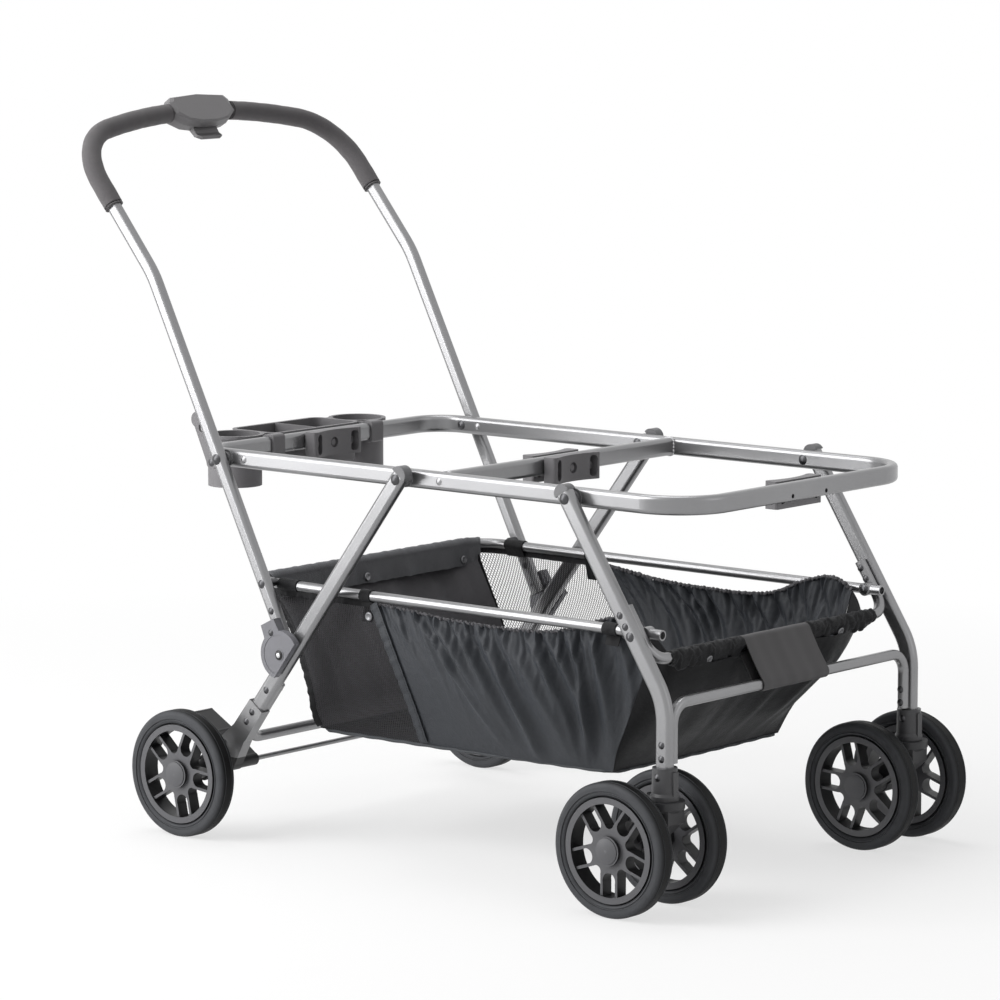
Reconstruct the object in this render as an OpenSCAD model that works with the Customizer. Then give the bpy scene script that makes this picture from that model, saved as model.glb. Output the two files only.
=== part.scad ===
// Folding car seat stroller frame: tandem seat ring on crossed legs, swivel casters, wire basket.
// X is sideways, the front faces -Y, Z is up and the floor is Z = 0. All sizes are millimetres.

/* [Layout] */
// Height of the seat ring's centre line above the floor
rail_z = 527; // [510:1:545]
// Middle of the frame to the centre of a seat rail
rail_x = 249; // [244:1:252]
// Middle of the frame to the centre of a leg or handle tube
leg_x = 272; // [268:1:280]
// Lengthways place of the front leg pivot
front_pivot_y = -365; // [-375:1:-355]
// Lengthways place of the rear leg pivot
rear_pivot_y = -73; // [-81:1:-65]
// Lengthways place of the handle pivot
handle_pivot_y = 257; // [254:1:259]
// Lengthways place of the upright front caster stems
front_stem_y = -527; // [-537:1:-517]
// Lengthways place of the rear axle
rear_axle_y = 286; // [280:1:292]

/* [Seat ring] */
// Sideways width of the seat ring's tube
rail_w = 16; // [14:0.5:18]
// Height of the seat ring's tube
rail_h = 25; // [23:0.5:28]
// Edge radius of the seat ring's tube
rail_r = 6; // [4:0.5:6.5]
// Lengthways place of the front cross bar's centre
front_bar_y = -546; // [-555:1:-539]
// Bend radius of the front corners
front_corner = 75; // [60:1:85]
// Lengthways place of the middle cross bar's centre
mid_bar_y = -131; // [-141:1:-121]
// Lengthways place of the rear cross bar's centre
rear_bar_y = 311; // [307:1:317]
// Bend radius of the rear corners
rear_corner = 48; // [40:1:50]
// Lengthways place of the seam between rail and rear bar
seam_y = 241; // [235:1:243]
// Length of the rear bar's spigot inside the rail
spigot = 30; // [24:1:40]

/* [Legs] */
// Sideways width of leg and handle tubes
leg_w = 15; // [13:0.5:16]
// Depth of a leg tube seen from the side
leg_d = 24; // [22:0.5:26]
// Edge radius of leg and handle tubes
leg_r = 6; // [4:0.5:6.5]
// Tube left above a pivot
leg_over = 8; // [7:0.5:12]
// Lean of the front legs from upright
front_lean = 32.9; // [31:0.1:35]
// Bend radius of the front legs
front_bend = 90; // [60:1:110]
// Lean of the rear legs from upright
rear_lean = 37.3; // [36:0.1:38.5]
// Length of a rear leg below its pivot
rear_len = 475; // [465:1:482]
// Pivot rivet diameter
pivot_d = 8; // [6:0.5:9]
// Radial running clearance of every pin in its bore
run = 0.06; // [0.03:0.01:0.09]
// Gap between pieces that move past each other
gap = 0.4; // [0.3:0.05:0.6]
// Rivet head diameter
rivet_d = 12; // [10:0.5:13]
// Rivet head height
rivet_h = 2; // [1.5:0.1:2.2]

/* [Cross bars] */
// Width of the square-round cross bars
bar_w = 14; // [12:0.5:15]
// Edge radius of the cross bars
bar_r = 5.5; // [4:0.5:5.5]
// Bend radius of the cross bars' ends
bar_bend = 28; // [24:1:32]
// Upper front bar, distance down the front leg from its pivot
upper_bar_at = 240; // [236:1:246]
// Height of the lower front bar
lower_bar_z = 273; // [268:1:278]
// Rear bar, distance past the rear leg's foot
rear_low_over = 17; // [14:1:22]

/* [Handle] */
// Depth of the handle tube seen from the side
handle_d = 20; // [18:0.5:22]
// Lean of the handle from upright
handle_lean = 26.7; // [26:0.1:27.5]
// Extra lean above the bend
handle_kink = 12.8; // [10:0.1:15]
// Pivot to the bend along the handle
kink_at = 279; // [265:1:295]
// Bend radius at the kink
kink_r = 150; // [100:5:180]
// Length of handle tube below its pivot
handle_low = 270; // [262:1:272]
// Kink to the start of the top corner
corner_at = 160; // [150:1:170]
// Radius of the top corner
corner_r = 93; // [80:1:100]
// Bow of the top bar at its ends, in degrees
bow = 13.1; // [8:0.1:16]
// Kink to the start of the foam
grip_at = 118; // [100:1:135]
// Foam grip diameter
grip_d = 28; // [26:0.5:31]
// Half the length of the console
console_half = 62; // [55:1:68]
// Console depth along the handle
console_v = 38; // [34:1:42]
// Console thickness across the handle
console_n = 36; // [32:1:40]

/* [Wheels] */
// Wheel diameter
wheel_d = 178; // [174:1:182]
// Tyre width
tyre_w = 28; // [24:1:30]
// Depth of the tyre from tread to rim
tyre_t = 19; // [17:0.5:21]
// Depth of the rim's ring
rim_t = 9; // [8:0.5:12]
// Hub width
hub_w = 30; // [28:0.5:31]
// Axle diameter
axle_d = 9; // [8:0.5:10]
// Middle of the frame to the centre of a rear wheel
rear_wheel_x = 322; // [319:1:328]
// Caster stem to the centre of each of its wheels
caster_half = 57; // [54:1:60]
// Distance of the caster axle behind its stem
trail = 38; // [32:1:42]
// Twin spokes in a wheel
spokes = 5; // [4:1:6]
// Slot between the two ribs of a twin spoke
spoke_gap = 20; // [17:0.5:22]
// Thickness of a spoke's rib
spoke_t = 4; // [3:0.25:5]

/* [Brake] */
// Width of a brake pedal
pedal_w = 34; // [30:1:36]
// Reach of a pedal behind its rod
pedal_out = 82; // [76:1:86]
// Rise of a pedal above its rod
pedal_up = 58; // [54:1:62]

/* [Car seat adapters] */
// Adapter width
adapter_w = 100; // [92:1:110]
// Adapter height
adapter_h = 37; // [34:1:42]
// Adapter thickness at its ends
adapter_t = 21; // [19:0.5:24]
// Depth of the adapter's hollow
adapter_dish = 8; // [5:0.5:9]
// Middle of an adapter to its guide slot
slot_x = 37; // [32:1:38]
// Width of the slot's recess
slot_w = 12.6; // [12:0.2:14]
// Travel of an adapter each way
adapter_travel = 8; // [5:0.5:9]

/* [Parent tray] */
// Middle of the frame to the centre of a cup well
cup_x = 130; // [124:1:136]
// Radius of a cup well
cup_r = 36; // [32:0.5:38]
// Depth of a cup well
cup_deep = 71; // [60:1:78]
// Height of the tray's rim
tray_z = 541; // [538:1:545]
// Tray wall
tray_wall = 2.5; // [2:0.1:3]
// Depth of the middle bin
bin_deep = 52; // [40:1:60]

/* [Basket] */
// Middle of the frame to the hoop rail's centre
hoop_x = 243; // [240:0.5:243]
// Hoop tube diameter
hoop_d = 14; // [12:0.5:14]
// Front leg pivot to the hoop pivot along the front leg
hoop_front_at = 202; // [199:1:203]
// Handle pivot to the hoop stud along the handle
hoop_rear_at = 186; // [182:1:190]
// Lengthways place of the hoop's rear bar
hoop_rear_y = 224; // [219:1:229]
// Height of the bag's floor
bag_z = 152; // [146:1:165]
// Bag cloth thickness
cloth = 3; // [2:0.1:3.5]
// Half the width of the bag's floor at the front
bag_front_half = 182; // [176:1:188]
// Half the width of the bag's floor at the rear
bag_rear_half = 204; // [198:1:208]
// Half the width of the bag where it swells most
bag_swell = 246; // [238:1:247]
// Drop of the elastic edge on the bag's sides
bag_dip = 20; // [10:1:26]
// Half the width of the cloth panel between the front bars
panel_half = 72; // [66:1:78]

/* [Hidden] */
$fn = 64;

// Side view angles run from +Y towards +Z
front_a = 270 - front_lean;
rear_a = 270 + rear_lean;
handle_a = 90 - handle_lean;
upper_a = handle_a - handle_kink;
front_pivot = [front_pivot_y, rail_z];
rear_pivot = [rear_pivot_y, rail_z];
handle_pivot = [handle_pivot_y, rail_z];
join = 0.6;
weld = 0.03;
seam = 0.1;
slip = 0.1;
function out(p, a, d) = [p[0] + d * cos(a), p[1] + d * sin(a)];

wheel_r = wheel_d / 2;
rim_r = wheel_r - tyre_t;
rim_in = rim_r - rim_t;
rear_axle = [rear_axle_y, wheel_r];
front_run = (front_pivot[0] - front_stem_y) / sin(front_lean);
front_vertex = out(front_pivot, front_a, front_run);
front_tangent = front_bend * tan(front_lean / 2);
kink = out(handle_pivot, handle_a, kink_at);
kink_t = kink_r * tan(handle_kink / 2);
bow_r = (leg_x - corner_r * (1 - sin(bow))) / sin(bow);
bow_v = corner_at + (corner_r - bow_r) * cos(bow);
top_v = bow_v + bow_r;
function bow_angle(d) = d / bow_r * 180 / PI;
leg_in = leg_x - leg_w / 2;
leg_out = leg_x + leg_w / 2;
rail_out = rail_x + rail_w / 2;
rail_in = rail_x - rail_w / 2;
bar_x = leg_in - bar_w / 2;
hoop_front = out(front_pivot, front_a, hoop_front_at);
hoop_stud = out(handle_pivot, handle_a, -hoop_rear_at);
hoop_z = hoop_front[1];
hoop_corner = 48;
front_rivet_s = [171, 187.5];
hoop_end = 25;
lower_rivet_z = [222, 204];
rear_low_at = rear_len + rear_low_over;
rear_rivet_s = [rear_len - 81, rear_len - 39, rear_len - 21];
handle_rivet_s = 226;
bracket_t = 2;
bracket_out = leg_out + bracket_t;
lock_in = bracket_out + rivet_h + 0.7;
lock_t = 10.5;
lock_r = 34;
brake_p = [rear_axle_y - 51, 102];
brake_d = 7;
socket_z = 150;
socket_h = 43;
socket_rivet_z = socket_z + 31;
socket_d = 34;
stem_d = 12;
stem_h = 26;
flange_d = 53;
flange_h = 9.5;
boss_half = caster_half - hub_w / 2 - gap;
screw_d = 6;
head_d = 11.4;
floor_t = 8;
adapter_z = rail_z - 5;
tray_gap = 2;
bar_back = rear_bar_y + rail_w / 2;
cup_y = bar_back + tray_gap + cup_r + tray_wall + 3.5;
clamp_x = 105;
clamp_w = 24;
clamp_t = 3;
hook_pivot_y = rear_bar_y - 28;
hook_pivot_z = rail_z - 8;
hook_t = 4.6;
hook_x = rail_out + 0.6;
lug_x = 25;
lever_v = top_v - console_v / 2 - 1;

// Rounded rectangle, w across and d deep
module oval(w, d, r) {
    square([w - 2 * r, d], center = true);
    square([w, d - 2 * r], center = true);
    for (x = [-1, 1], y = [-1, 1])
        translate([x * (w / 2 - r), y * (d / 2 - r)]) circle(r);
}

// Both sides of the frame
module both() {
    children();
    mirror([1, 0, 0]) children();
}

// Straight tube in a side plane, from [y, z] a to b
module side_bar(a, b, w, d, r) {
    translate([0, a[0], a[1]])
        rotate([-atan2(b[0] - a[0], b[1] - a[1]), 0, 0])
            linear_extrude(norm(b - a)) oval(w, d, r);
}

// Bent tube in a side plane round centre c
module side_bend(c, radius, from, sweep, w, d, r) {
    translate([0, c[0], c[1]]) rotate([90, 0, 90]) rotate([0, 0, from])
        rotate_extrude(angle = sweep) translate([radius, 0]) oval(d, w, r);
}

// Straight level tube from [x, y] a to b
module plan_bar(a, b, w, h, r) {
    translate([a[0], a[1], 0]) rotate([0, 0, atan2(b[1] - a[1], b[0] - a[0])])
        rotate([90, 0, 90]) linear_extrude(norm(b - a)) oval(w, h, r);
}

// Bent level tube round centre c
module plan_bend(c, radius, from, sweep, w, h, r) {
    translate([c[0], c[1], 0]) rotate([0, 0, from])
        rotate_extrude(angle = sweep) translate([radius, 0]) oval(w, h, r);
}

// Short weld sleeve over the seam of two side lengths, at p along direction a
module side_join(p, a, w, d, r) {
    side_bar(out(p, a, -join), out(p, a, join), w + 2 * weld, d + 2 * weld, r + weld);
}

// Short weld sleeve over the seam of two level lengths, at p along direction a
module plan_join(p, a, w, h, r) {
    plan_bar(out(p, a, -join), out(p, a, join), w + 2 * weld, h + 2 * weld, r + weld);
}

// U-shaped level tube: cross bar at y = 0, legs to y = -leg at x = +-half
module u_tube(half, leg, corner, w, h, r) {
    both() {
        plan_bar([half, -leg], [half, -corner], w, h, r);
        plan_bend([half - corner, -corner], corner, 0, 90, w, h, r);
    }
    plan_bar([corner - half, 0], [half - corner, 0], w, h, r);
}

// Cylinder along +X from x0 to x1 at [y, z] p
module rod_x(p, d, x0, x1) {
    translate([x0, p[0], p[1]]) rotate([0, 90, 0]) cylinder(d = d, h = x1 - x0);
}

// Domed head standing on a face at x, facing dir
module head_x(p, d, h, x, dir) {
    ball = (d * d / 4 + h * h) / (2 * h);
    translate([x, p[0], p[1]]) rotate([0, dir * 90, 0]) rotate_extrude()
        intersection() {
            translate([0, h - ball]) circle(ball);
            square([d / 2, h]);
        }
}

// Solid rivet with a dome at each end
module rivet_x(p, d, head, h, x0, x1) {
    rod_x(p, d, x0, x1);
    head_x(p, head, h, x0, -1);
    head_x(p, head, h, x1, 1);
}

// Flat outline in the side view, pushed out along X
module side_plate(x0, x1) {
    translate([x0, 0, 0]) rotate([90, 0, 90]) linear_extrude(x1 - x0) children();
}

// Thick line between two points of a side outline
module stroke(a, b, ra, rb) {
    side = [a[1] - b[1], b[0] - a[0]] / norm(b - a);
    polygon([a - ra * side, b - rb * side, b + rb * side, a + ra * side]);
}

// Frame of the handle's upper plane: Y runs up the handle from the kink, Z is its front side
module upper() {
    translate([0, kink[0], kink[1]]) rotate([upper_a, 0, 0]) children();
}

// Frame of a plane along a leg: Y runs from the pivot down the leg
module down(p, a) {
    translate([0, p[0], p[1]]) rotate([a, 0, 0]) children();
}

module seat_rail() {
    color("silver") difference() {
        translate([0, 0, rail_z]) {
            both() {
                plan_bar([rail_x, seam_y], [rail_x, front_bar_y + front_corner], rail_w, rail_h, rail_r);
                plan_bend([rail_x - front_corner, front_bar_y + front_corner], front_corner, 270, 90,
                    rail_w, rail_h, rail_r);
            }
            plan_bar([front_corner - rail_x, front_bar_y], [rail_x - front_corner, front_bar_y],
                rail_w, rail_h, rail_r);
        }
        both() {
            translate([0, 0, rail_z])
                plan_bar([rail_x, seam_y + 1], [rail_x, seam_y - spigot], rail_w - 4, rail_h - 4, rail_r - 2);
            for (p = [front_pivot, rear_pivot]) rod_x(p, pivot_d, rail_in - 1, rail_out + 1);
            rod_x([seam_y - spigot / 2, rail_z], 5, rail_in - 1, rail_out + 1);
            rod_x([mid_bar_y, rail_z], 5, rail_in - 1, rail_out + 1);
            adapter_bores(front_bar_y, 1);
            adapter_bores(front_bar_y, -1);
        }
    }
}

module rear_bar() {
    color("silver") difference() {
        translate([0, 0, rail_z]) {
            both() {
                plan_bar([rail_x, seam_y], [rail_x, rear_bar_y - rear_corner], rail_w, rail_h, rail_r);
                plan_bar([rail_x, seam_y], [rail_x, seam_y - spigot], rail_w - 4, rail_h - 4, rail_r - 2);
                plan_bend([rail_x - rear_corner, rear_bar_y - rear_corner], rear_corner, 0, 90,
                    rail_w, rail_h, rail_r);
            }
            plan_bar([rear_corner - rail_x, rear_bar_y], [rail_x - rear_corner, rear_bar_y],
                rail_w, rail_h, rail_r);
        }
        both() {
            rod_x(handle_pivot, pivot_d, rail_in - 1, rail_out + 1);
            rod_x([seam_y - spigot / 2, rail_z], 5, rail_in - 1, rail_out + 1);
            adapter_bores(rear_bar_y, -1);
        }
        mirror([1, 0, 0]) rod_x([hook_pivot_y, hook_pivot_z], 6, rail_x - rear_corner, rail_out + 1);
    }
}

module mid_bar() {
    color("silver") difference() {
        translate([0, 0, rail_z])
            plan_bar([-rail_in, mid_bar_y], [rail_in, mid_bar_y], rail_w, rail_h, rail_r);
        both() {
            rod_x([mid_bar_y, rail_z], 5, rail_in - 14, rail_in + 1);
            adapter_bores(mid_bar_y, 1);
            adapter_bores(mid_bar_y, -1);
        }
    }
}

module seat_rivets() {
    color("gainsboro") both() {
        rivet_x([seam_y - spigot / 2, rail_z], 5, 10, rivet_h, rail_in, rail_out);
        rod_x([mid_bar_y, rail_z], 5, rail_in - 14, rail_out);
        head_x([mid_bar_y, rail_z], 10, rivet_h, rail_out, 1);
    }
}

module pivot_rivets() {
    color("gainsboro") {
        both() for (p = [front_pivot, rear_pivot, handle_pivot]) {
            rod_x(p, pivot_d, rail_in, leg_out + gap);
            head_x(p, pivot_d + 6, 2.5, rail_in, -1);
            head_x(p, pivot_d + 7, 3, leg_out + gap, 1);
        }
        mirror([1, 0, 0]) {
            rod_x([hook_pivot_y, hook_pivot_z], 6, rail_x - rear_corner + 38, hook_x + hook_t + 0.3);
            head_x([hook_pivot_y, hook_pivot_z], 11, 1.2, hook_x + hook_t + 0.3, 1);
        }
    }
}

module pivot_spacers() {
    color("dimgray") both() for (p = [front_pivot, rear_pivot, handle_pivot]) difference() {
        union() {
            rod_x(p, 24, rail_out, rail_out + 2);
            rod_x(p, 19, rail_out, leg_in - gap);
        }
        rod_x(p, pivot_d, rail_out - 1, leg_in);
    }
}

// Guide screw bores in a cross bar's face towards dir
module adapter_bores(y, dir) {
    translate([slot_x, y + dir * rail_w / 2, adapter_z]) rotate([90 * dir, 0, 0])
        translate([0, 0, -1]) cylinder(d = screw_d, h = 8);
}

module slot_cut(w, half_h, y0, y1) {
    translate([0, y1, 0]) rotate([90, 0, 0]) linear_extrude(y1 - y0) {
        square([w, 2 * half_h], center = true);
        for (z = [-1, 1]) translate([0, z * half_h]) circle(d = w);
    }
}

// Car seat adapter: back face at y = 0, hollow face towards +y
module adapter() {
    chord = adapter_w / 2 - 8;
    dish_r = (chord * chord + adapter_dish * adapter_dish) / (2 * adapter_dish);
    color("dimgray") difference() {
        translate([0, 0, -adapter_h / 2]) linear_extrude(adapter_h) difference() {
            translate([0, adapter_t / 2]) oval(adapter_w, adapter_t, 4);
            translate([0, adapter_t - adapter_dish + dish_r]) circle(dish_r);
        }
        for (s = [-1, 1]) translate([s * slot_x, 0, 0]) {
            slot_cut(slot_w, adapter_travel + 0.6, floor_t, adapter_t + 1);
            slot_cut(screw_d + 0.8, adapter_travel + 0.6, -1, adapter_t);
        }
        translate([0, floor_t, 0]) rotate([-90, 0, 0]) difference() {
            cylinder(d = 15, h = adapter_t);
            translate([0, 0, -1]) cylinder(d = 9, h = 4);
        }
    }
}

module adapter_at(y, dir) {
    translate([0, y + dir * (rail_w / 2 + gap), adapter_z]) rotate([0, 0, 90 - 90 * dir]) adapter();
}

module adapter_rear() adapter_at(rear_bar_y, -1);
module adapter_mid_rear() adapter_at(mid_bar_y, 1);
module adapter_mid_front() adapter_at(mid_bar_y, -1);
module adapter_front() adapter_at(front_bar_y, 1);

module adapter_screw(y, dir) {
    translate([slot_x, y + dir * rail_w / 2, adapter_z]) rotate([-90 * dir, 0, 0]) {
        translate([0, 0, -7]) cylinder(d = screw_d, h = 7 + gap + floor_t + 0.3);
        translate([0, 0, gap + floor_t + 0.3]) difference() {
            cylinder(d = head_d, h = 3.4);
            for (a = [0, 90]) translate([0, 0, 3]) rotate([0, 0, a]) cube([6, 1.4, 2], center = true);
        }
    }
}

module adapter_screws() {
    color("silver") both() {
        adapter_screw(rear_bar_y, -1);
        adapter_screw(mid_bar_y, 1);
        adapter_screw(mid_bar_y, -1);
        adapter_screw(front_bar_y, 1);
    }
}

// Plan outline of the tray, grown by e
module tray_plan(e) {
    for (s = [-1, 1]) translate([s * cup_x, cup_y]) circle(cup_r + e);
    translate([0, cup_y + 3]) oval(2 * (cup_x - cup_r - 6 + e), 2 * (cup_r + 4 + e), 12 + e);
    translate([0, cup_y]) square([2 * cup_x, 2 * cup_r - 12], center = true);
}

module parent_tray() {
    color("dimgray") difference() {
        union() {
            translate([0, 0, tray_z - 4]) linear_extrude(4) tray_plan(tray_wall + 3.5);
            for (s = [-1, 1]) translate([s * cup_x, cup_y, tray_z - cup_deep - tray_wall])
                cylinder(r = cup_r + tray_wall, h = cup_deep + tray_wall);
            translate([0, cup_y + 3, tray_z - bin_deep - tray_wall])
                linear_extrude(bin_deep + tray_wall)
                    oval(2 * (cup_x - cup_r - 6 + tray_wall), 2 * (cup_r + 4 + tray_wall), 12 + tray_wall);
            both() translate([clamp_x - clamp_w / 2, bar_back, rail_z - rail_h / 2])
                cube([clamp_w, 18, rail_h]);
        }
        for (s = [-1, 1]) translate([s * cup_x, cup_y, tray_z - cup_deep]) {
            cylinder(r = cup_r, h = cup_deep + 1);
            translate([0, 0, -tray_wall - 1]) cylinder(d = 10, h = tray_wall + 2);
        }
        translate([0, cup_y + 3, tray_z - bin_deep]) linear_extrude(bin_deep + 1) difference() {
            oval(2 * (cup_x - cup_r - 6), 2 * (cup_r + 4), 12);
            square([tray_wall, 4 * cup_r], center = true);
        }
    }
}

module tray_clamps() {
    color("dimgray") both() translate([clamp_x - clamp_w / 2, rear_bar_y, rail_z]) rotate([90, 0, 90])
        linear_extrude(clamp_w) difference() {
            translate([-clamp_t / 2, 0]) oval(rail_w + clamp_t, rail_h + 2 * clamp_t, clamp_t + 2);
            oval(rail_w, rail_h, rail_r);
            translate([rail_w / 2, -rail_h]) square([20, 2 * rail_h]);
        }
}

// Storage hook: a flat lever with a notch, behind the left handle tube
module storage_hook() {
    color("dimgray") mirror([1, 0, 0]) translate([0, hook_pivot_y, hook_pivot_z]) rotate([-25, 0, 0])
        difference() {
            side_plate(hook_x, hook_x + hook_t) difference() {
                union() {
                    circle(9.5);
                    translate([-8.5, 0]) square([17, 64]);
                    translate([0, 64]) circle(11);
                }
                translate([-4, 50]) circle(6.5);
                translate([-4, 50]) rotate(-35) translate([-30, -6]) square([30, 12]);
            }
            rod_x([0, 0], 6 + 2 * run, 0, leg_x);
        }
}

// Bowed top bar of the handle, for seats and cuts
module handle_bow(w, h, r) {
    cut = bow_angle(seam);
    plan_bend([0, bow_v], bow_r, 90 - bow + cut, 2 * (bow - cut), w, h, r);
}

module handle_tube() {
    low = out(handle_pivot, handle_a, -handle_low);
    bend_start = out(kink, handle_a, -kink_t);
    color("silver") difference() {
        union() {
            both() {
                translate([leg_x, 0, 0]) {
                    side_bar(low, out(bend_start, handle_a, -seam), leg_w, handle_d, leg_r);
                    side_join(bend_start, handle_a, leg_w, handle_d, leg_r);
                    side_bend(out(bend_start, handle_a - 90, kink_r), kink_r, upper_a + 90, handle_kink,
                        leg_w, handle_d, leg_r);
                    side_join(out(kink, upper_a, kink_t), upper_a, leg_w, handle_d, leg_r);
                }
                upper() {
                    plan_bar([leg_x, kink_t + seam], [leg_x, corner_at - seam], leg_w, handle_d, leg_r);
                    plan_join([leg_x, corner_at], 90, leg_w, handle_d, leg_r);
                    plan_bend([leg_x - corner_r, corner_at], corner_r, 0, 90 - bow, leg_w, handle_d, leg_r);
                    plan_join(out([leg_x - corner_r, corner_at], 90 - bow, corner_r), 180 - bow,
                        leg_w, handle_d, leg_r);
                }
            }
            upper() handle_bow(leg_w, handle_d, leg_r);
        }
        both() {
            rod_x(handle_pivot, pivot_d + 2 * run, leg_in - 1, leg_out + 1);
            rod_x(hoop_stud, 6, leg_in - 1, leg_out + 1);
            rod_x(out(handle_pivot, handle_a, -handle_rivet_s), 5, leg_in - 1, leg_out + 1);
            rod_x(lock_rivet(), 5, leg_in - 1, leg_out + 1);
        }
    }
}

function lock_rivet() = out(handle_pivot, handle_a, -(handle_low - 14));

// Foam sleeve on one half of the handle
module grip() {
    end = asin((console_half + 1) / bow_r);
    start = bow_angle(seam);
    upper() {
        translate([leg_x, grip_at, 0]) rotate([-90, 0, 0]) linear_extrude(corner_at - grip_at - seam)
            grip_ring(0);
        translate([leg_x, corner_at, 0]) grip_join();
        translate([leg_x - corner_r, corner_at, 0]) rotate_extrude(angle = 90 - bow)
            translate([corner_r, 0]) grip_ring(0);
        translate([leg_x - corner_r, corner_at, 0]) rotate([0, 0, 90 - bow]) translate([corner_r, 0, 0])
            grip_join();
        translate([0, bow_v, 0]) rotate([0, 0, 90 - bow + start]) rotate_extrude(angle = bow - end - start)
            translate([bow_r, 0]) grip_ring(0);
    }
}

// Cross-section of the foam, grown both ways by e
module grip_ring(e) {
    difference() {
        circle(d = grip_d + 2 * e);
        oval(leg_w + 2 * (slip - e), handle_d + 2 * (slip - e), leg_r + slip - e);
    }
}

// Short foam ring over a seam
module grip_join() {
    translate([0, -join, 0]) rotate([-90, 0, 0]) linear_extrude(2 * join) grip_ring(weld);
}

module grip_right() color("dimgray") grip();
module grip_left() color("dimgray") mirror([1, 0, 0]) grip();

// Ten-sided slice of the console at depth n: half-width, top and keel
module console_slice(n, half, top, deep) {
    translate([0, 0, n * console_n]) linear_extrude(0.1) polygon([for (p = [[0, top + 4], [0.91, top],
        [1, 0.55 * top], [1, -0.4 * deep], [0.71, -0.83 * deep], [0.27, -deep], [-0.27, -deep],
        [-0.71, -0.83 * deep], [-1, -0.4 * deep], [-1, 0.55 * top], [-0.91, top]])
        [p[0] * half * console_half, p[1] * console_v / 38]]);
}

// Faceted console body before it is split
module console_body() {
    upper() translate([0, top_v, 0]) hull() {
        console_slice(0.39, 0.88, 15.5, 26);
        console_slice(0.33, 0.985, 17, 28);
        console_slice(0, 1, 18, 29.5);
        console_slice(-0.35, 0.985, 14, 27);
        console_slice(-0.43, 0.84, 9, 21);
    }
}

module console_half_space(side) {
    wide = 3 * console_half;
    upper() translate([-wide, top_v - wide, side > 0 ? 0 : -wide]) cube([2 * wide, 2 * wide, wide]);
}

module console_cover() {
    color("darkslategray") difference() {
        intersection() {
            console_body();
            console_half_space(1);
        }
        upper() handle_bow(leg_w + 2 * slip, handle_d + 2 * slip, leg_r + slip);
    }
}

module console_base() {
    color("dimgray") difference() {
        intersection() {
            console_body();
            console_half_space(-1);
        }
        upper() handle_bow(leg_w + 2 * slip, handle_d + 2 * slip, leg_r + slip);
        upper() translate([-lug_x - 8, lever_v, -8]) rotate([0, 90, 0])
            cylinder(d = 5 + 2 * run, h = 2 * lug_x + 16);
        upper() translate([-lug_x, lever_v - 20, -console_n]) cube([2 * lug_x, 28, 2 * console_n]);
    }
}

// Squeeze tab hung in the console's pocket, its lower corners rounded
module release_lever() {
    wide = 2 * (lug_x - gap);
    color("dimgray") upper() translate([0, lever_v, -8]) {
        translate([-lug_x - 6, 0, 0]) rotate([0, 90, 0]) cylinder(d = 5, h = 2 * lug_x + 12);
        intersection() {
            translate([-wide / 2, 0, 0]) rotate([90, 0, 90]) linear_extrude(wide) {
                circle(6);
                stroke([0, 0], [-18, 0.5], 5.4, 2.8);
                translate([-18, 0.5]) circle(3.2);
                stroke([-18, 0.5], [-26, 5], 2.8, 2.4);
                translate([-26, 5]) circle(2.7);
            }
            translate([0, -11, -30]) linear_extrude(60) oval(wide - 0.4, 36, 10);
        }
    }
}

// Half-round lock housing at the foot of a handle tube, lying over the rear leg's outer side
module lock_bracket() {
    foot = out(handle_pivot, handle_a, -handle_low);
    centre = out(handle_pivot, handle_a, -handle_low - 19);
    top = out(foot, handle_a, 30);
    difference() {
        union() {
            side_plate(lock_in, lock_in + lock_t) intersection() {
                union() {
                    translate(centre) circle(lock_r);
                    stroke(foot, top, 16, 13);
                }
                translate(centre) rotate(rear_a) translate([-100, -leg_d / 2]) square([200, 200]);
            }
            side_plate(leg_out, lock_in + 1) stroke(out(foot, handle_a, 9), top, 12.5, 12.5);
        }
        rod_x(lock_rivet(), 5, leg_out - 1, lock_in + lock_t + 1);
        side_plate(lock_in + lock_t - 0.6, lock_in + lock_t + 1) translate(centre) rotate(rear_a)
            difference() {
                intersection() {
                    circle(lock_r - 6);
                    translate([-100, -leg_d / 2 + 3]) square([200, 200]);
                }
                circle(8);
            }
    }
    head_x(centre, 14, 2.4, lock_in + lock_t, 1);
}

module lock_bracket_right() color("dimgray") lock_bracket();
module lock_bracket_left() color("dimgray") mirror([1, 0, 0]) lock_bracket();

module handle_rivets() {
    color("gainsboro") both() {
        rod_x(hoop_stud, 6, leg_in, leg_out);
        rod_x(hoop_stud, 11, hoop_x + hoop_d / 2 + 0.6, leg_in);
        head_x(hoop_stud, rivet_d, rivet_h, leg_out, 1);
        rivet_x(out(handle_pivot, handle_a, -handle_rivet_s), 5, 10, rivet_h, leg_in, leg_out);
        rod_x(lock_rivet(), 5, leg_in, lock_in + lock_t);
        head_x(lock_rivet(), 9, rivet_h, lock_in + lock_t, 1);
    }
}

// Half-round cap on a leg's top end
module leg_cap(p, a) {
    top = out(p, a, -leg_over);
    intersection() {
        side_plate(leg_in - 0.4, leg_out + 0.4) translate(top) circle(d = leg_d + 0.8);
        translate([leg_x, top[0], top[1]]) rotate([a - 90, 0, 0])
            translate([-20, -20, -40]) cube([40, 40, 40]);
    }
}

module rear_leg() {
    color("silver") difference() {
        translate([leg_x, 0, 0])
            side_bar(out(rear_pivot, rear_a, -leg_over), out(rear_pivot, rear_a, rear_len),
                leg_w, leg_d, leg_r);
        rod_x(rear_pivot, pivot_d + 2 * run, leg_in - 1, leg_out + 1);
        for (s = rear_rivet_s) rod_x(out(rear_pivot, rear_a, s), 5, leg_in - 1, leg_out + 1);
    }
}

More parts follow.
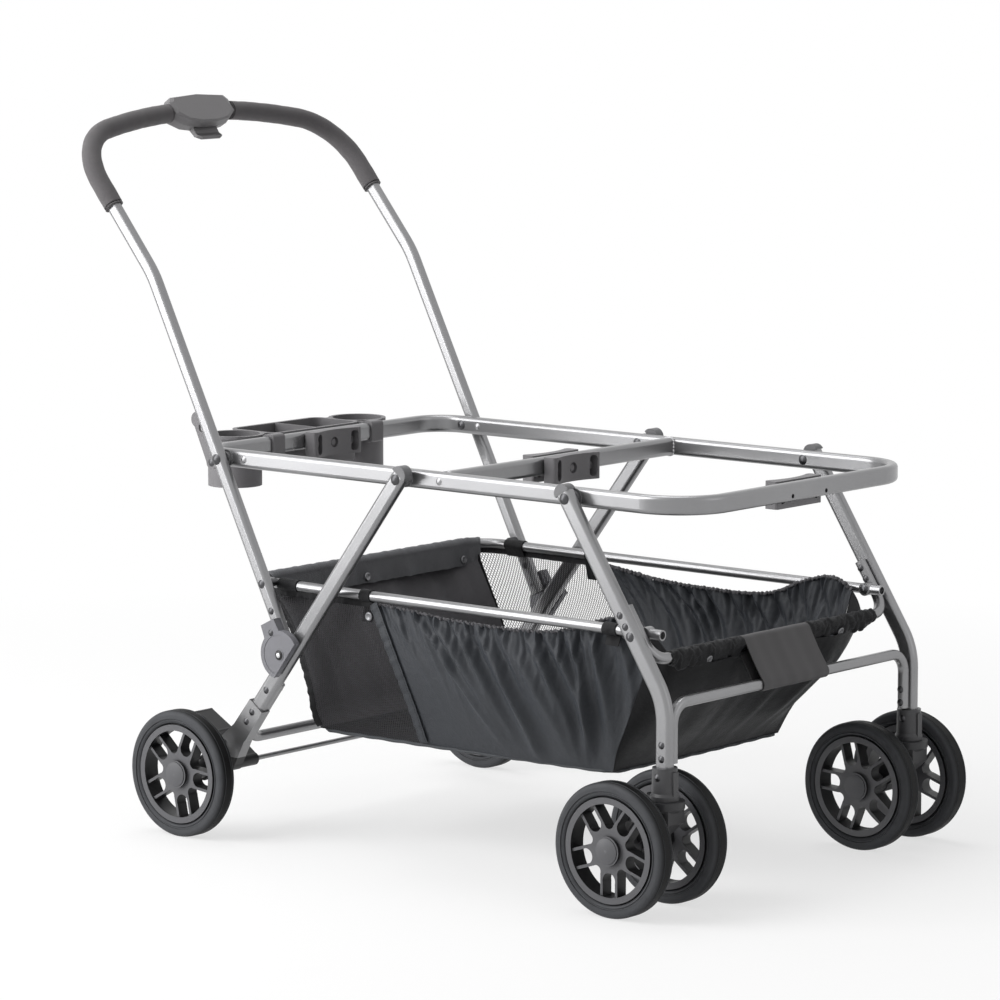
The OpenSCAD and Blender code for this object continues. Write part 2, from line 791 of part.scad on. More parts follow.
module rear_leg_right() rear_leg();
module rear_leg_left() mirror([1, 0, 0]) rear_leg();
module rear_leg_caps() color("dimgray") both() leg_cap(rear_pivot, rear_a);

module rear_crossbar() {
    color("silver") difference() {
        down(rear_pivot, rear_a) translate([0, rear_low_at, 0])
            u_tube(bar_x, rear_low_at - rear_rivet_s[0] + 10, bar_bend, bar_w, bar_w, bar_r);
        both() for (s = rear_rivet_s)
            rod_x(out(rear_pivot, rear_a, s), 5, leg_in - bar_w - 1, leg_in + 1);
    }
}

// Moulded bracket on a rear leg's foot: axle boss, brake boss and a sleeve open on the inner side
module axle_bracket() {
    up = out(rear_pivot, rear_a, rear_len - 51);
    foot = out(rear_pivot, rear_a, rear_len);
    tip = out(rear_pivot, rear_a, rear_len + 3);
    color("dimgray") difference() {
        union() {
            side_plate(leg_in, bracket_out) {
                stroke(up, tip, leg_d / 2 + 2, leg_d / 2 + 3);
                stroke(foot, rear_axle, 15, 16);
                translate(rear_axle) circle(17);
                stroke(foot, brake_p, 13, 9.3);
                translate(brake_p) circle(10);
                stroke(brake_p, rear_axle, 6, 8);
            }
            rod_x(rear_axle, 26, leg_in, rear_wheel_x - hub_w / 2 - gap);
        }
        translate([leg_x, 0, 0])
            side_bar(out(rear_pivot, rear_a, rear_len - 75), foot, leg_w, leg_d, leg_r);
        for (s = [rear_rivet_s[1], rear_rivet_s[2]])
            rod_x(out(rear_pivot, rear_a, s), 5, leg_in - 1, bracket_out + 1);
        rod_x(rear_axle, axle_d, leg_in - 1, rear_wheel_x);
        rod_x(brake_p, brake_d + 2 * run, leg_in - 1, bracket_out + 1);
        side_plate(leg_out - 3, bracket_out + 1)
            stroke(out(foot, -40, 30), out(foot, -40, 52), 7, 6);
    }
}

module axle_bracket_right() axle_bracket();
module axle_bracket_left() mirror([1, 0, 0]) axle_bracket();

module rear_axles() {
    color("gainsboro") both() {
        rod_x(rear_axle, axle_d, leg_in, rear_wheel_x + hub_w / 2);
        head_x(rear_axle, axle_d + 7, 2.5, leg_in, -1);
    }
}

module rear_rivets() {
    color("gainsboro") both() {
        rivet_x(out(rear_pivot, rear_a, rear_rivet_s[0]), 5, 10, rivet_h, leg_in - bar_w, leg_out);
        for (s = [rear_rivet_s[1], rear_rivet_s[2]])
            rivet_x(out(rear_pivot, rear_a, s), 5, 10, rivet_h, leg_in - bar_w, bracket_out);
    }
}

// Linked brake: one rod with a pedal beside each wheel
module brake_bar() {
    knee = brake_p + [0.54 * pedal_out, 0.59 * pedal_up];
    tip = brake_p + [pedal_out, pedal_up];
    color("dimgray") {
        rod_x(brake_p, brake_d, -bracket_out, bracket_out);
        both() side_plate(leg_in - pedal_w, leg_in - gap) {
            translate(brake_p) circle(9);
            stroke(brake_p, knee, 8.3, 5.6);
            translate(knee) circle(6);
            stroke(knee, tip, 5.6, 3.7);
            translate(tip) circle(4);
        }
    }
}

// Tyre ring lying flat, axle along Z
module tyre_solid() {
    t = wheel_r - rim_r;
    rotate_extrude() difference() {
        translate([rim_r + t / 2, 0]) oval(t, tyre_w, 7);
        for (y = [-6, 6]) translate([wheel_r, y]) circle(1.2);
        for (y = [-1, 1]) translate([rim_r + 6, y * tyre_w / 2]) circle(1.6);
    }
}

// Spoked rim lying flat, outer face towards +Z
module rim_solid() {
    step = 360 / spokes;
    lip = rim_t - 0.6;
    difference() {
        union() {
            rotate_extrude() {
                translate([rim_in, -tyre_w / 2 + 1]) square([2.6, tyre_w - 2]);
                translate([rim_in, -5]) square([rim_t, 10]);
                for (y = [-1, 1]) translate([rim_in + lip / 2, y * (tyre_w / 2 - 2.5)])
                    square([lip, 3], center = true);
            }
            translate([0, 0, -8]) linear_extrude(18) difference() {
                circle(rim_in + 1);
                for (i = [0:spokes - 1]) {
                    rotate(i * step) twin_slot();
                    rotate((i + 0.5) * step) wedge_slot();
                }
            }
            translate([0, 0, -hub_w / 2]) cylinder(r = 16, h = hub_w - 3);
        }
        translate([0, 0, -hub_w]) cylinder(d = axle_d + 2 * run, h = 2 * hub_w);
    }
}

// Slot between the ribs of one twin spoke, round at its inner end
module twin_slot() {
    r0 = 0.65 * rim_in;
    translate([r0, 0]) circle(spoke_gap / 2 + 0.3);
    translate([r0, -spoke_gap / 2]) square([rim_in + 4 - r0, spoke_gap]);
}

// Wedge between two twin spokes, round at its inner end
module wedge_slot() {
    a = 180 / spokes;
    apex = (spoke_gap / 2 + spoke_t) / sin(a);
    end = 0.115 * rim_in;
    r0 = apex + end / sin(a);
    near = r0 - end * sin(a);
    far = rim_in + 4;
    translate([r0, 0]) circle(end + 0.3);
    polygon([[near, -(near - apex) * tan(a)], [far, -(far - apex) * tan(a)],
        [far, (far - apex) * tan(a)], [near, (near - apex) * tan(a)]]);
}

// Snap-on hub cap over the axle's end
module hub_cap() {
    translate([0, 0, hub_w / 2 - 3]) difference() {
        rotate_extrude() {
            square([19.6, 3.4]);
            intersection() {
                translate([0, 3.4 - 62]) circle(65.2);
                translate([0, 3.3]) square([17, 8]);
            }
        }
        translate([0, 0, -1]) cylinder(d = axle_d + 1.5, h = 4.2);
    }
}

// Wheel axis set along X with its cap towards dir, one spoke pair turned by turn
module place_wheel(x, y, dir, turn = 0) {
    translate([x, y, wheel_r]) rotate([0, 90 * dir, 0]) rotate(turn) children();
}

module rim_and_cap() {
    color("darkslategray") {
        rim_solid();
        hub_cap();
    }
}

module tyre_black() color("black") tyre_solid();

axle_front_y = front_stem_y + trail;
module rear_tyre_left() place_wheel(-rear_wheel_x, rear_axle_y, -1) tyre_black();
module rear_rim_left() place_wheel(-rear_wheel_x, rear_axle_y, -1, -24) rim_and_cap();
module rear_tyre_right() place_wheel(rear_wheel_x, rear_axle_y, 1) tyre_black();
module rear_rim_right() place_wheel(rear_wheel_x, rear_axle_y, 1, 12) rim_and_cap();
module front_tyre_left_outer() place_wheel(-leg_x - caster_half, axle_front_y, -1) tyre_black();
module front_rim_left_outer() place_wheel(-leg_x - caster_half, axle_front_y, -1, 36) rim_and_cap();
module front_tyre_left_inner() place_wheel(-leg_x + caster_half, axle_front_y, 1) tyre_black();
module front_rim_left_inner() place_wheel(-leg_x + caster_half, axle_front_y, 1, 20) rim_and_cap();
module front_tyre_right_inner() place_wheel(leg_x - caster_half, axle_front_y, -1) tyre_black();
module front_rim_right_inner() place_wheel(leg_x - caster_half, axle_front_y, -1, 15) rim_and_cap();
module front_tyre_right_outer() place_wheel(leg_x + caster_half, axle_front_y, 1) tyre_black();
module front_rim_right_outer() place_wheel(leg_x + caster_half, axle_front_y, 1) rim_and_cap();

module front_leg_tube() {
    bend_start = out(front_vertex, front_a, -front_tangent);
    bend_end = [front_stem_y, front_vertex[1] - front_tangent];
    side_bar(out(front_pivot, front_a, -leg_over), out(bend_start, front_a, -seam), leg_w, leg_d, leg_r);
    side_join(bend_start, front_a, leg_w, leg_d, leg_r);
    side_bend(out(bend_start, front_a + 90, front_bend), front_bend, front_a - 90, front_lean,
        leg_w, leg_d, leg_r);
    side_join(bend_end, 270, leg_w, leg_d, leg_r);
    side_bar(bend_end - [0, seam], [front_stem_y, socket_z + 17], leg_w, leg_d, leg_r);
}

module front_leg() {
    color("silver") difference() {
        translate([leg_x, 0, 0]) front_leg_tube();
        rod_x(front_pivot, pivot_d + 2 * run, leg_in - 1, leg_out + 1);
        rod_x(hoop_front, pivot_d, leg_in - 1, leg_out + 1);
        for (s = front_rivet_s) rod_x(out(front_pivot, front_a, s), 5, leg_in - 1, leg_out + 1);
        for (z = lower_rivet_z) rod_x([front_stem_y, z], 5, leg_in - 1, leg_out + 1);
        rod_x([front_stem_y, socket_rivet_z], 5, leg_in - 1, leg_out + 1);
    }
}

module front_leg_right() front_leg();
module front_leg_left() mirror([1, 0, 0]) front_leg();
module front_leg_caps() color("dimgray") both() leg_cap(front_pivot, front_a);

module upper_front_bar() {
    color("silver") difference() {
        down(front_pivot, front_a) translate([0, upper_bar_at, 0])
            u_tube(bar_x, upper_bar_at - front_rivet_s[0] + 10, bar_bend, bar_w, bar_w, bar_r);
        both() {
            rod_x(hoop_front, pivot_d, leg_in - bar_w - 1, leg_in + 1);
            for (s = front_rivet_s) rod_x(out(front_pivot, front_a, s), 5, leg_in - bar_w - 1, leg_in + 1);
        }
    }
}

module lower_front_bar() {
    color("silver") difference() {
        translate([0, front_stem_y, lower_bar_z]) rotate([90, 0, 0])
            u_tube(bar_x, lower_bar_z - lower_rivet_z[1] + 8, bar_bend, bar_w, bar_w, bar_r);
        both() for (z = lower_rivet_z)
            rod_x([front_stem_y, z], 5, leg_in - bar_w - 1, leg_in + 1);
    }
}

// Bare cloth panel wrapped round both front bars
module front_panel() {
    a = out(front_pivot, front_a, upper_bar_at);
    b = [front_stem_y, lower_bar_z];
    skin = 1.6;
    r = bar_w / 2 + 0.9;
    color("gray") side_plate(-panel_half, panel_half) difference() {
        union() {
            translate(a) circle(r + skin);
            translate(b) circle(r + skin);
            stroke(a, b, r + skin - 0.2, r + skin - 0.2);
        }
        translate(a) circle(r);
        translate(b) circle(r);
        stroke(a, b, r - 0.2, r - 0.2);
    }
}

// Swivel socket on the foot of a front leg
module caster_socket() {
    color("dimgray") translate([leg_x, front_stem_y, 0]) difference() {
        union() {
            translate([0, 0, socket_z]) rotate_extrude() polygon([[0, 0], [socket_d / 2 + 2, 0],
                [socket_d / 2 + 2, 6], [socket_d / 2, 10], [socket_d / 2 - 0.6, socket_h], [0, socket_h]]);
            translate([0, -socket_d / 2, socket_z + socket_h / 2])
                cube([10, 3, socket_h - 10], center = true);
        }
        rod_x([0, socket_rivet_z], 5, -socket_d, socket_d);
        for (x = [-1, 1]) translate([x * (socket_d - 1.2), 0, 0])
            rod_x([0, socket_rivet_z], 10, -socket_d / 2, socket_d / 2);
        translate([0, 0, socket_z + 17]) linear_extrude(socket_h) oval(leg_w, leg_d, leg_r);
        translate([0, 0, socket_z - 1]) cylinder(d = stem_d + 2 * run, h = 1 + stem_h - 9.7);
    }
}

module caster_socket_right() caster_socket();
module caster_socket_left() mirror([1, 0, 0]) caster_socket();

module front_rivets() {
    color("gainsboro") both() {
        for (s = front_rivet_s)
            rivet_x(out(front_pivot, front_a, s), 5, 10, rivet_h, leg_in - bar_w, leg_out);
        for (z = lower_rivet_z) rivet_x([front_stem_y, z], 5, 10, rivet_h, leg_in - bar_w, leg_out);
        rivet_x([front_stem_y, socket_rivet_z], 5, 10, rivet_h, leg_x - socket_d / 2 + 1.2,
            leg_x + socket_d / 2 - 1.2);
        rod_x(hoop_front, pivot_d, hoop_x - hoop_d / 2 - gap, leg_out);
        head_x(hoop_front, rivet_d + 1, rivet_h, leg_out, 1);
        head_x(hoop_front, rivet_d + 1, rivet_h, hoop_x - hoop_d / 2 - gap, -1);
    }
}

// Round hoop of the basket, with a flat eye near each open front end
module basket_hoop() {
    x_out = min(hoop_x + hoop_d / 2, leg_in - bar_w - gap);
    color("silver") difference() {
        union() {
            translate([0, hoop_rear_y, hoop_z]) {
                both() {
                    translate([hoop_x, -hoop_corner, 0]) rotate([90, 0, 0])
                        cylinder(d = hoop_d, h = hoop_rear_y - hoop_front[0] - hoop_corner + hoop_end);
                    translate([hoop_x - hoop_corner, -hoop_corner, 0]) rotate_extrude(angle = 90)
                        translate([hoop_corner, 0]) circle(d = hoop_d);
                }
                translate([hoop_corner - hoop_x, 0, 0]) rotate([0, 90, 0])
                    cylinder(d = hoop_d, h = 2 * (hoop_x - hoop_corner));
            }
            both() rod_x(hoop_front, 18, hoop_x - hoop_d / 2, x_out);
        }
        both() {
            rod_x(hoop_front, pivot_d + 2 * run, hoop_x - hoop_d, leg_in);
            translate([hoop_x, hoop_front[0] - hoop_end + 8, hoop_z]) rotate([90, 0, 0])
                cylinder(d = hoop_d - 4, h = 9);
        }
    }
}

// Level slice of the bag at z: front edge, swollen middle and rear edge with cut corners
module bag_slice(z, h, front, front_half, mid, mid_half, rear, rear_half, cut) {
    translate([0, 0, z]) linear_extrude(h) polygon([[-front_half, front], [front_half, front],
        [mid_half, mid], [rear_half, rear - cut], [rear_half - cut, rear], [cut - rear_half, rear],
        [-rear_half, rear - cut], [-mid_half, mid]]);
}

// Filled shape of the bag, every wall moved in by t
module bag_block(t) {
    x_top = hoop_x - hoop_d / 2 - 0.8 - t;
    front_top = hoop_front[0] + 13 + t;
    rear_top = hoop_rear_y - hoop_d / 2 - 1 - t;
    mid = (front_top + rear_top) / 2 - 80;
    hull() {
        bag_slice(hoop_z - 1, t > 0 ? 0.6 : 0.1, front_top, x_top - 4, mid, x_top, rear_top, x_top, 36);
        bag_slice(hoop_z - 44, 0.1, front_top - 21, 212 - t, mid, bag_swell - t, rear_top - 14, x_top, 36);
        bag_slice(hoop_z - 110, 0.1, front_top + 24, 204 - t, mid + 20, bag_swell - 4 - t,
            rear_top - 40, bag_rear_half + 18 - t, 30);
        bag_slice(bag_z + t, 0.1, front_top + 92, bag_front_half - t, mid,
            (bag_front_half + bag_rear_half) / 2 - t, rear_top - 84, bag_rear_half - t, 12);
    }
}

// Open-topped cloth bag hung inside the hoop, its sides dipping and its front low behind the bar
module basket_bag() {
    dip_r = 1100;
    color("black") difference() {
        bag_block(0);
        bag_block(cloth);
        side_plate(-leg_x, leg_x) {
            translate([hoop_front[0] + 250, hoop_z - bag_dip + dip_r]) circle(dip_r, $fn = 256);
            polygon([[hoop_front[0] + 35, hoop_z + 8], [hoop_front[0] - 11, hoop_z - 42],
                [hoop_front[0] - 60, hoop_z - 42], [hoop_front[0] - 60, hoop_z + 8]]);
        }
    }
}

// Caster fork: swivel flange, trailing arm and axle boss
module caster_fork() {
    neck = [0, socket_z - gap - flange_h];
    axle = [trail, wheel_r];
    color("dimgray") translate([leg_x, front_stem_y, 0]) difference() {
        union() {
            translate([0, 0, neck[1]]) cylinder(d = flange_d, h = flange_h);
            translate([0, 0, neck[1] - 4]) cylinder(d1 = 44, d2 = flange_d, h = 4);
            side_plate(-17, 17) {
                polygon([[-19, neck[1]], [21, neck[1]], axle + [15, 10], axle + [13, -10], axle + [-15, -4],
                    [-19, neck[1] - 20]]);
                translate(axle) circle(16);
            }
            rod_x(axle, 30, -boss_half, boss_half);
            side_plate(-24, 24) stroke([-8, neck[1] - 6], axle + [-6, 8], 6, 8);
        }
        rod_x(axle, axle_d, -boss_half - 1, boss_half + 1);
        translate([0, 0, neck[1] + flange_h - 9.5]) cylinder(d = stem_d, h = 30);
        both() side_plate(boss_half - 3, boss_half + 1) translate(axle) difference() {
            circle(12);
            circle(8);
        }
    }
}

module caster_fork_right() caster_fork();
module caster_fork_left() mirror([1, 0, 0]) caster_fork();

// Caster stem and axle
module caster_pins() {
    reach = caster_half + hub_w / 2;
    color("gainsboro") translate([leg_x, front_stem_y, 0]) {
        translate([0, 0, socket_z - gap - 9.5]) cylinder(d = stem_d, h = stem_h);
        rod_x([trail, wheel_r], axle_d, -reach, reach);
    }
}

module caster_pins_right() caster_pins();
module caster_pins_left() mirror([1, 0, 0]) caster_pins();

seat_rail();
rear_bar();
mid_bar();
seat_rivets();
pivot_rivets();
pivot_spacers();
parent_tray();
tray_clamps();
adapter_rear();
adapter_mid_rear();
adapter_mid_front();
adapter_front();
adapter_screws();
storage_hook();
handle_tube();
grip_left();
grip_right();
console_cover();
console_base();
release_lever();
lock_bracket_left();
lock_bracket_right();
handle_rivets();
rear_leg_left();
rear_leg_right();
rear_leg_caps();
rear_crossbar();
axle_bracket_left();
axle_bracket_right();
rear_axles();
rear_rivets();
brake_bar();
rear_tyre_left();
rear_rim_left();
rear_tyre_right();
rear_rim_right();
front_leg_left();
front_leg_right();
front_leg_caps();
upper_front_bar();
lower_front_bar();
front_panel();
caster_socket_left();
caster_socket_right();
front_rivets();
basket_hoop();
basket_bag();
caster_fork_left();
caster_fork_right();
caster_pins_left();
caster_pins_right();
front_tyre_left_outer();
front_rim_left_outer();
front_tyre_left_inner();
front_rim_left_inner();
front_tyre_right_inner();
front_rim_right_inner();
front_tyre_right_outer();
front_rim_right_outer();
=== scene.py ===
"""Looks of a folding car seat stroller frame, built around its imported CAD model."""

from __future__ import annotations

import logging
import math
from dataclasses import dataclass
from enum import Enum
from typing import Optional, Sequence, Union

import bpy
import numpy as np
from mathutils import Matrix, Vector

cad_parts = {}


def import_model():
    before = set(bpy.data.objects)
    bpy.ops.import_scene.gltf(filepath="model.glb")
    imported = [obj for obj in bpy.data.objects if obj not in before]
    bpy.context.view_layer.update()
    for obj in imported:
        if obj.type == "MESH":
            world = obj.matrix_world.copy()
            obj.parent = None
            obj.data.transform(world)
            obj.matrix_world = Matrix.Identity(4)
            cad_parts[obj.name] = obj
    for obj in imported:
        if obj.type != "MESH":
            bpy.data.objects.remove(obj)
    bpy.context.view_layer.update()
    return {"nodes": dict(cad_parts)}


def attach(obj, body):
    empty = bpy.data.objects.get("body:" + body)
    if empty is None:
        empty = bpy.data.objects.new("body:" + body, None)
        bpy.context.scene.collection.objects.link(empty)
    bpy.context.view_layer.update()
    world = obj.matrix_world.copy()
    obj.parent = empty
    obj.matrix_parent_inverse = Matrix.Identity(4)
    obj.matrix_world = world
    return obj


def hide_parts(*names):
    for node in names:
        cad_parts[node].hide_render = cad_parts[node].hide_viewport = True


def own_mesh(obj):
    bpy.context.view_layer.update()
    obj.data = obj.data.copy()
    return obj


LOG = logging.getLogger("stroller_frame")

Colour = tuple[float, float, float]
Point = Sequence[float]
Pair = tuple[float, float]
Input = Union["Wire", float, Sequence[float], bool]

WHITE: Colour = (1.0, 1.0, 1.0)
GRAIN_SCALE = 1500.0  # noise scale of moulded and plated surfaces
FINE = 0.0003  # bump distance of fine grain, in metres
SMOOTH_ANGLE = math.radians(50)
WELD_GAP = 0.00005  # seam points nearer than this are joined
CLOTH = 0.0009  # thickness of the bag cloth
BAG_FLAT = 0.165  # share of its height that the bag keeps when folded; nothing here folds it
FRONT_FLAT = 0.1  # the same for the bag's front, which has less room; also not applied
CLOTH_SLOT = "bag_cloth"
MIRROR = np.array([-1.0, 1.0, 1.0])


class Side(Enum):
    """The two sides of the frame, with the sign of their X."""

    LEFT = -1
    RIGHT = 1

    @property
    def label(self) -> str:
        """The side's name in a piece name."""
        return self.name.lower()


class Wire:
    """A shader socket that Python arithmetic works on."""

    def __init__(self, graph: "Graph", socket: bpy.types.NodeSocket) -> None:
        """Keep the socket and the graph that it belongs to."""
        self.graph = graph
        self.socket = socket

    def __add__(self, other: Input) -> "Wire":
        """Sum of two values."""
        return self.graph.math("ADD", self, other)

    __radd__ = __add__

    def __sub__(self, other: Input) -> "Wire":
        """Difference of two values."""
        return self.graph.math("SUBTRACT", self, other)

    def __rsub__(self, other: Input) -> "Wire":
        """Difference with the number first."""
        return self.graph.math("SUBTRACT", other, self)

    def __mul__(self, other: Input) -> "Wire":
        """Product of two values."""
        return self.graph.math("MULTIPLY", self, other)

    def __pow__(self, other: Input) -> "Wire":
        """Power of a value."""
        return self.graph.math("POWER", self, other)

    def above(self, edge: Input) -> "Wire":
        """One where the value is above the edge, zero elsewhere."""
        return self.graph.math("GREATER_THAN", self, edge)

    def sine(self) -> "Wire":
        """Sine of the value."""
        return self.graph.math("SINE", self)

    def size(self) -> "Wire":
        """The value without its sign."""
        return self.graph.math("ABSOLUTE", self)

    def larger(self, other: Input) -> "Wire":
        """The larger of two values."""
        return self.graph.math("MAXIMUM", self, other)


class Graph:
    """The nodes of one material or world."""

    def __init__(self, owner: Union[bpy.types.Material, bpy.types.World]) -> None:
        """Turn on the owner's nodes.

        Args:
            owner: The material or world.
        """
        owner.use_nodes = True
        self.owner = owner
        self.tree = owner.node_tree

    @classmethod
    def named(cls, name: str) -> "Graph":
        """Start a material with a single principled shader."""
        return cls(bpy.data.materials.new(name))

    def node(
        self,
        kind: str,
        settings: Optional[dict] = None,
        inputs: Optional[dict] = None,
        output: Union[int, str] = 0,
    ) -> Wire:
        """Add one node.

        Args:
            kind: The node's type without the ShaderNode prefix.
            settings: Attributes that are set before any socket.
            inputs: Values or wires by socket name or number.
            output: The output that the wire is taken from.

        Returns:
            The wire of that output.
        """
        made = self.tree.nodes.new("ShaderNode" + kind)
        for key, value in (settings or {}).items():
            setattr(made, key, value)
        for key, value in (inputs or {}).items():
            self.plug(made.inputs[key], value)
        return Wire(self, made.outputs[output])

    def plug(self, socket: bpy.types.NodeSocket, value: Input) -> None:
        """Link a wire to a socket, or set the socket's own value.

        Args:
            socket: The socket.
            value: A wire, a number or a colour.
        """
        if isinstance(value, Wire):
            self.tree.links.new(value.socket, socket)
        elif isinstance(value, tuple) and len(value) == 3 and socket.type == "RGBA":
            socket.default_value = (*value, 1.0)
        else:
            socket.default_value = value

    def math(self, operation: str, a: Input, b: Optional[Input] = None) -> Wire:
        """One Math node on one or two values."""
        inputs = {0: a} if b is None else {0: a, 1: b}
        return self.node("Math", {"operation": operation}, inputs)

    def mix(self, share: Input, a: Input, b: Input) -> Wire:
        """Colour between a and b."""
        inputs = {"Factor": share, 6: a, 7: b}
        return self.node("Mix", {"data_type": "RGBA"}, inputs, output=2)

    def place(self, output: str = "Object") -> Wire:
        """The piece's own coordinates."""
        return self.node("TexCoord", output=output)

    def split(self, vector: Wire) -> tuple[Wire, Wire, Wire]:
        """The three parts of a vector.

        Args:
            vector: The vector.

        Returns:
            Its x, y and z.
        """
        made = self.tree.nodes.new("ShaderNodeSeparateXYZ")
        self.plug(made.inputs[0], vector)
        return tuple(Wire(self, made.outputs[i]) for i in range(3))

    def noise(
        self,
        scale: float,
        detail: float = 2.0,
        at: Optional[Wire] = None,
        rough: float = 0.5,
    ) -> Wire:
        """Cloudy noise from 0 to 1.

        Args:
            scale: Clouds in a metre.
            detail: Finer layers.
            at: Coordinates, or the piece's own.
            rough: Weight of the finer layers.

        Returns:
            The noise.
        """
        inputs = {"Scale": scale, "Detail": detail, "Roughness": rough}
        return self.node("TexNoise", inputs={"Vector": at or self.place(), **inputs})

    def cells(self, scale: float) -> Wire:
        """Distance to the nearest cell point."""
        return self.node("TexVoronoi", inputs={"Vector": self.place(), "Scale": scale})

    def ramp(self, value: Wire, low: float, high: float) -> Wire:
        """Value clamped from low to high, as 0 to 1."""
        inputs = {"Value": value, "From Min": low, "From Max": high}
        return self.node("MapRange", {"clamp": True}, inputs)

    def dust(self, scale: float) -> Wire:
        """Soft dusty patches from 0 to 1."""
        return self.ramp(self.noise(scale, 5.0), 0.42, 0.75)

    def bump(
        self,
        height: Wire,
        strength: float,
        distance: float = FINE,
        under: Optional[Wire] = None,
    ) -> Wire:
        """A normal from a height.

        Args:
            height: The height.
            strength: Weight of the bump.
            distance: Depth in metres.
            under: A normal that this one lies on.

        Returns:
            The normal.
        """
        inputs = {"Height": height, "Strength": strength, "Distance": distance}
        if under is not None:
            inputs["Normal"] = under
        return self.node("Bump", inputs=inputs)

    def seen(self) -> Wire:
        """One for camera, glossy and transmitted rays, zero for the others.

        Returns:
            The mask of those rays.
        """
        path = self.tree.nodes.new("ShaderNodeLightPath")
        rays = ("Is Camera Ray", "Is Glossy Ray", "Is Transmission Ray")
        camera, glossy, passed = (Wire(self, path.outputs[ray]) for ray in rays)
        return camera.larger(glossy).larger(passed)

    def blend(self, output: str, share: Wire, first: Wire, second: Wire) -> None:
        """End in a mix of two shaders.

        Args:
            output: Name of the output node.
            share: Share of the second shader.
            first: The first shader.
            second: The second shader.
        """
        mixed = self.node("MixShader", inputs={0: share, 1: first, 2: second})
        self.plug(self.tree.nodes[output].inputs["Surface"], mixed)

    def finish(self, **sockets: Input) -> bpy.types.Material:
        """Set the principled shader's sockets and hand over the material.

        Args:
            sockets: Values or wires by name, with underscores for spaces.

        Returns:
            The material.
        """
        shader = self.tree.nodes["Principled BSDF"]
        for name, value in sockets.items():
            self.plug(shader.inputs[name.replace("_", " ")], value)
        return self.owner


def tint(colour: Colour, share: float) -> Colour:
    """A colour times a share."""
    return tuple(c * share for c in colour)


@dataclass(frozen=True)
class SatinPaint:
    """Metallic silver-grey paint on the tubes."""

    name: str = "tube_paint"
    light: Colour = (0.31, 0.31, 0.316)
    dark: Colour = (0.22, 0.22, 0.226)
    roughness: float = 0.3
    metallic: float = 0.8

    def material(self) -> bpy.types.Material:
        """Flakes, faint clouding and a little orange peel.

        Returns:
            The material.
        """
        g = Graph.named(self.name)
        flakes = g.noise(2600.0)
        clouds = g.noise(9.0, 4.0)
        tone = g.ramp(flakes * 0.7 + clouds * 0.3, 0.34, 0.66)
        peel = g.noise(420.0)
        return g.finish(
            Base_Color=g.mix(tone, self.dark, self.light),
            Metallic=self.metallic,
            Roughness=self.roughness + (clouds - 0.5) * 0.1,
            Normal=g.bump(peel, 0.03),
        )


@dataclass(frozen=True)
class TwoTone:
    """Painted metal that turns to dark moulded plastic past an edge."""

    name: str
    axis: int
    edge: float
    past: bool = True
    metal: Colour = (0.30, 0.30, 0.306)
    plastic: Colour = (0.014, 0.014, 0.015)

    def material(self) -> bpy.types.Material:
        """Paint on one side of the edge, grained plastic on the other.

        Returns:
            The material.
        """
        g = Graph.named(self.name)
        along = g.split(g.place())[self.axis]
        outside = along.size().above(self.edge)
        if not self.past:
            outside = 1 - outside
        grain = g.noise(GRAIN_SCALE)
        clouds = g.noise(30.0, 4.0)
        worn = g.mix(clouds, tint(self.metal, 0.76), self.metal)
        moulded = g.mix(grain, self.plastic, tint(self.plastic, 1.6))
        return g.finish(
            Base_Color=g.mix(outside, worn, moulded),
            Metallic=(1 - outside) * 0.8,
            Roughness=0.3 + clouds * 0.08 + outside * 0.14,
            Normal=g.bump(grain * outside, 0.25),
        )


@dataclass(frozen=True)
class RimPlastic:
    """Wheel plastic, grey on its faces as painted light and near-black on its slot
    walls as painted shade.
    """

    name: str = "rim_plastic"
    # The first colour is painted light for the faces that look along the axle, the
    # second painted shade for the slot walls.
    face: Colour = (0.085, 0.085, 0.091)
    deep: Colour = (0.010, 0.010, 0.011)

    def material(self) -> bpy.types.Material:
        """Grey painted light where the surface looks along the axle, near-black
        painted shade elsewhere, with dust and grain.

        Returns:
            The material.
        """
        g = Graph.named(self.name)
        side, _, _ = g.split(g.place("Normal"))
        # Share of the painted light on the faces; the rest takes the painted shade of
        # the slots.
        painted_lit_faces = g.ramp(side.size(), 0.4, 0.85)
        grain = g.noise(GRAIN_SCALE)
        tone = g.mix(grain, tint(self.face, 0.85), tint(self.face, 1.2))
        return g.finish(
            Base_Color=g.mix(painted_lit_faces, self.deep, tone),
            Roughness=0.42 + g.dust(30.0) * 0.14,
            Normal=g.bump(grain, 0.2),
            Specular_IOR_Level=0.4,
        )


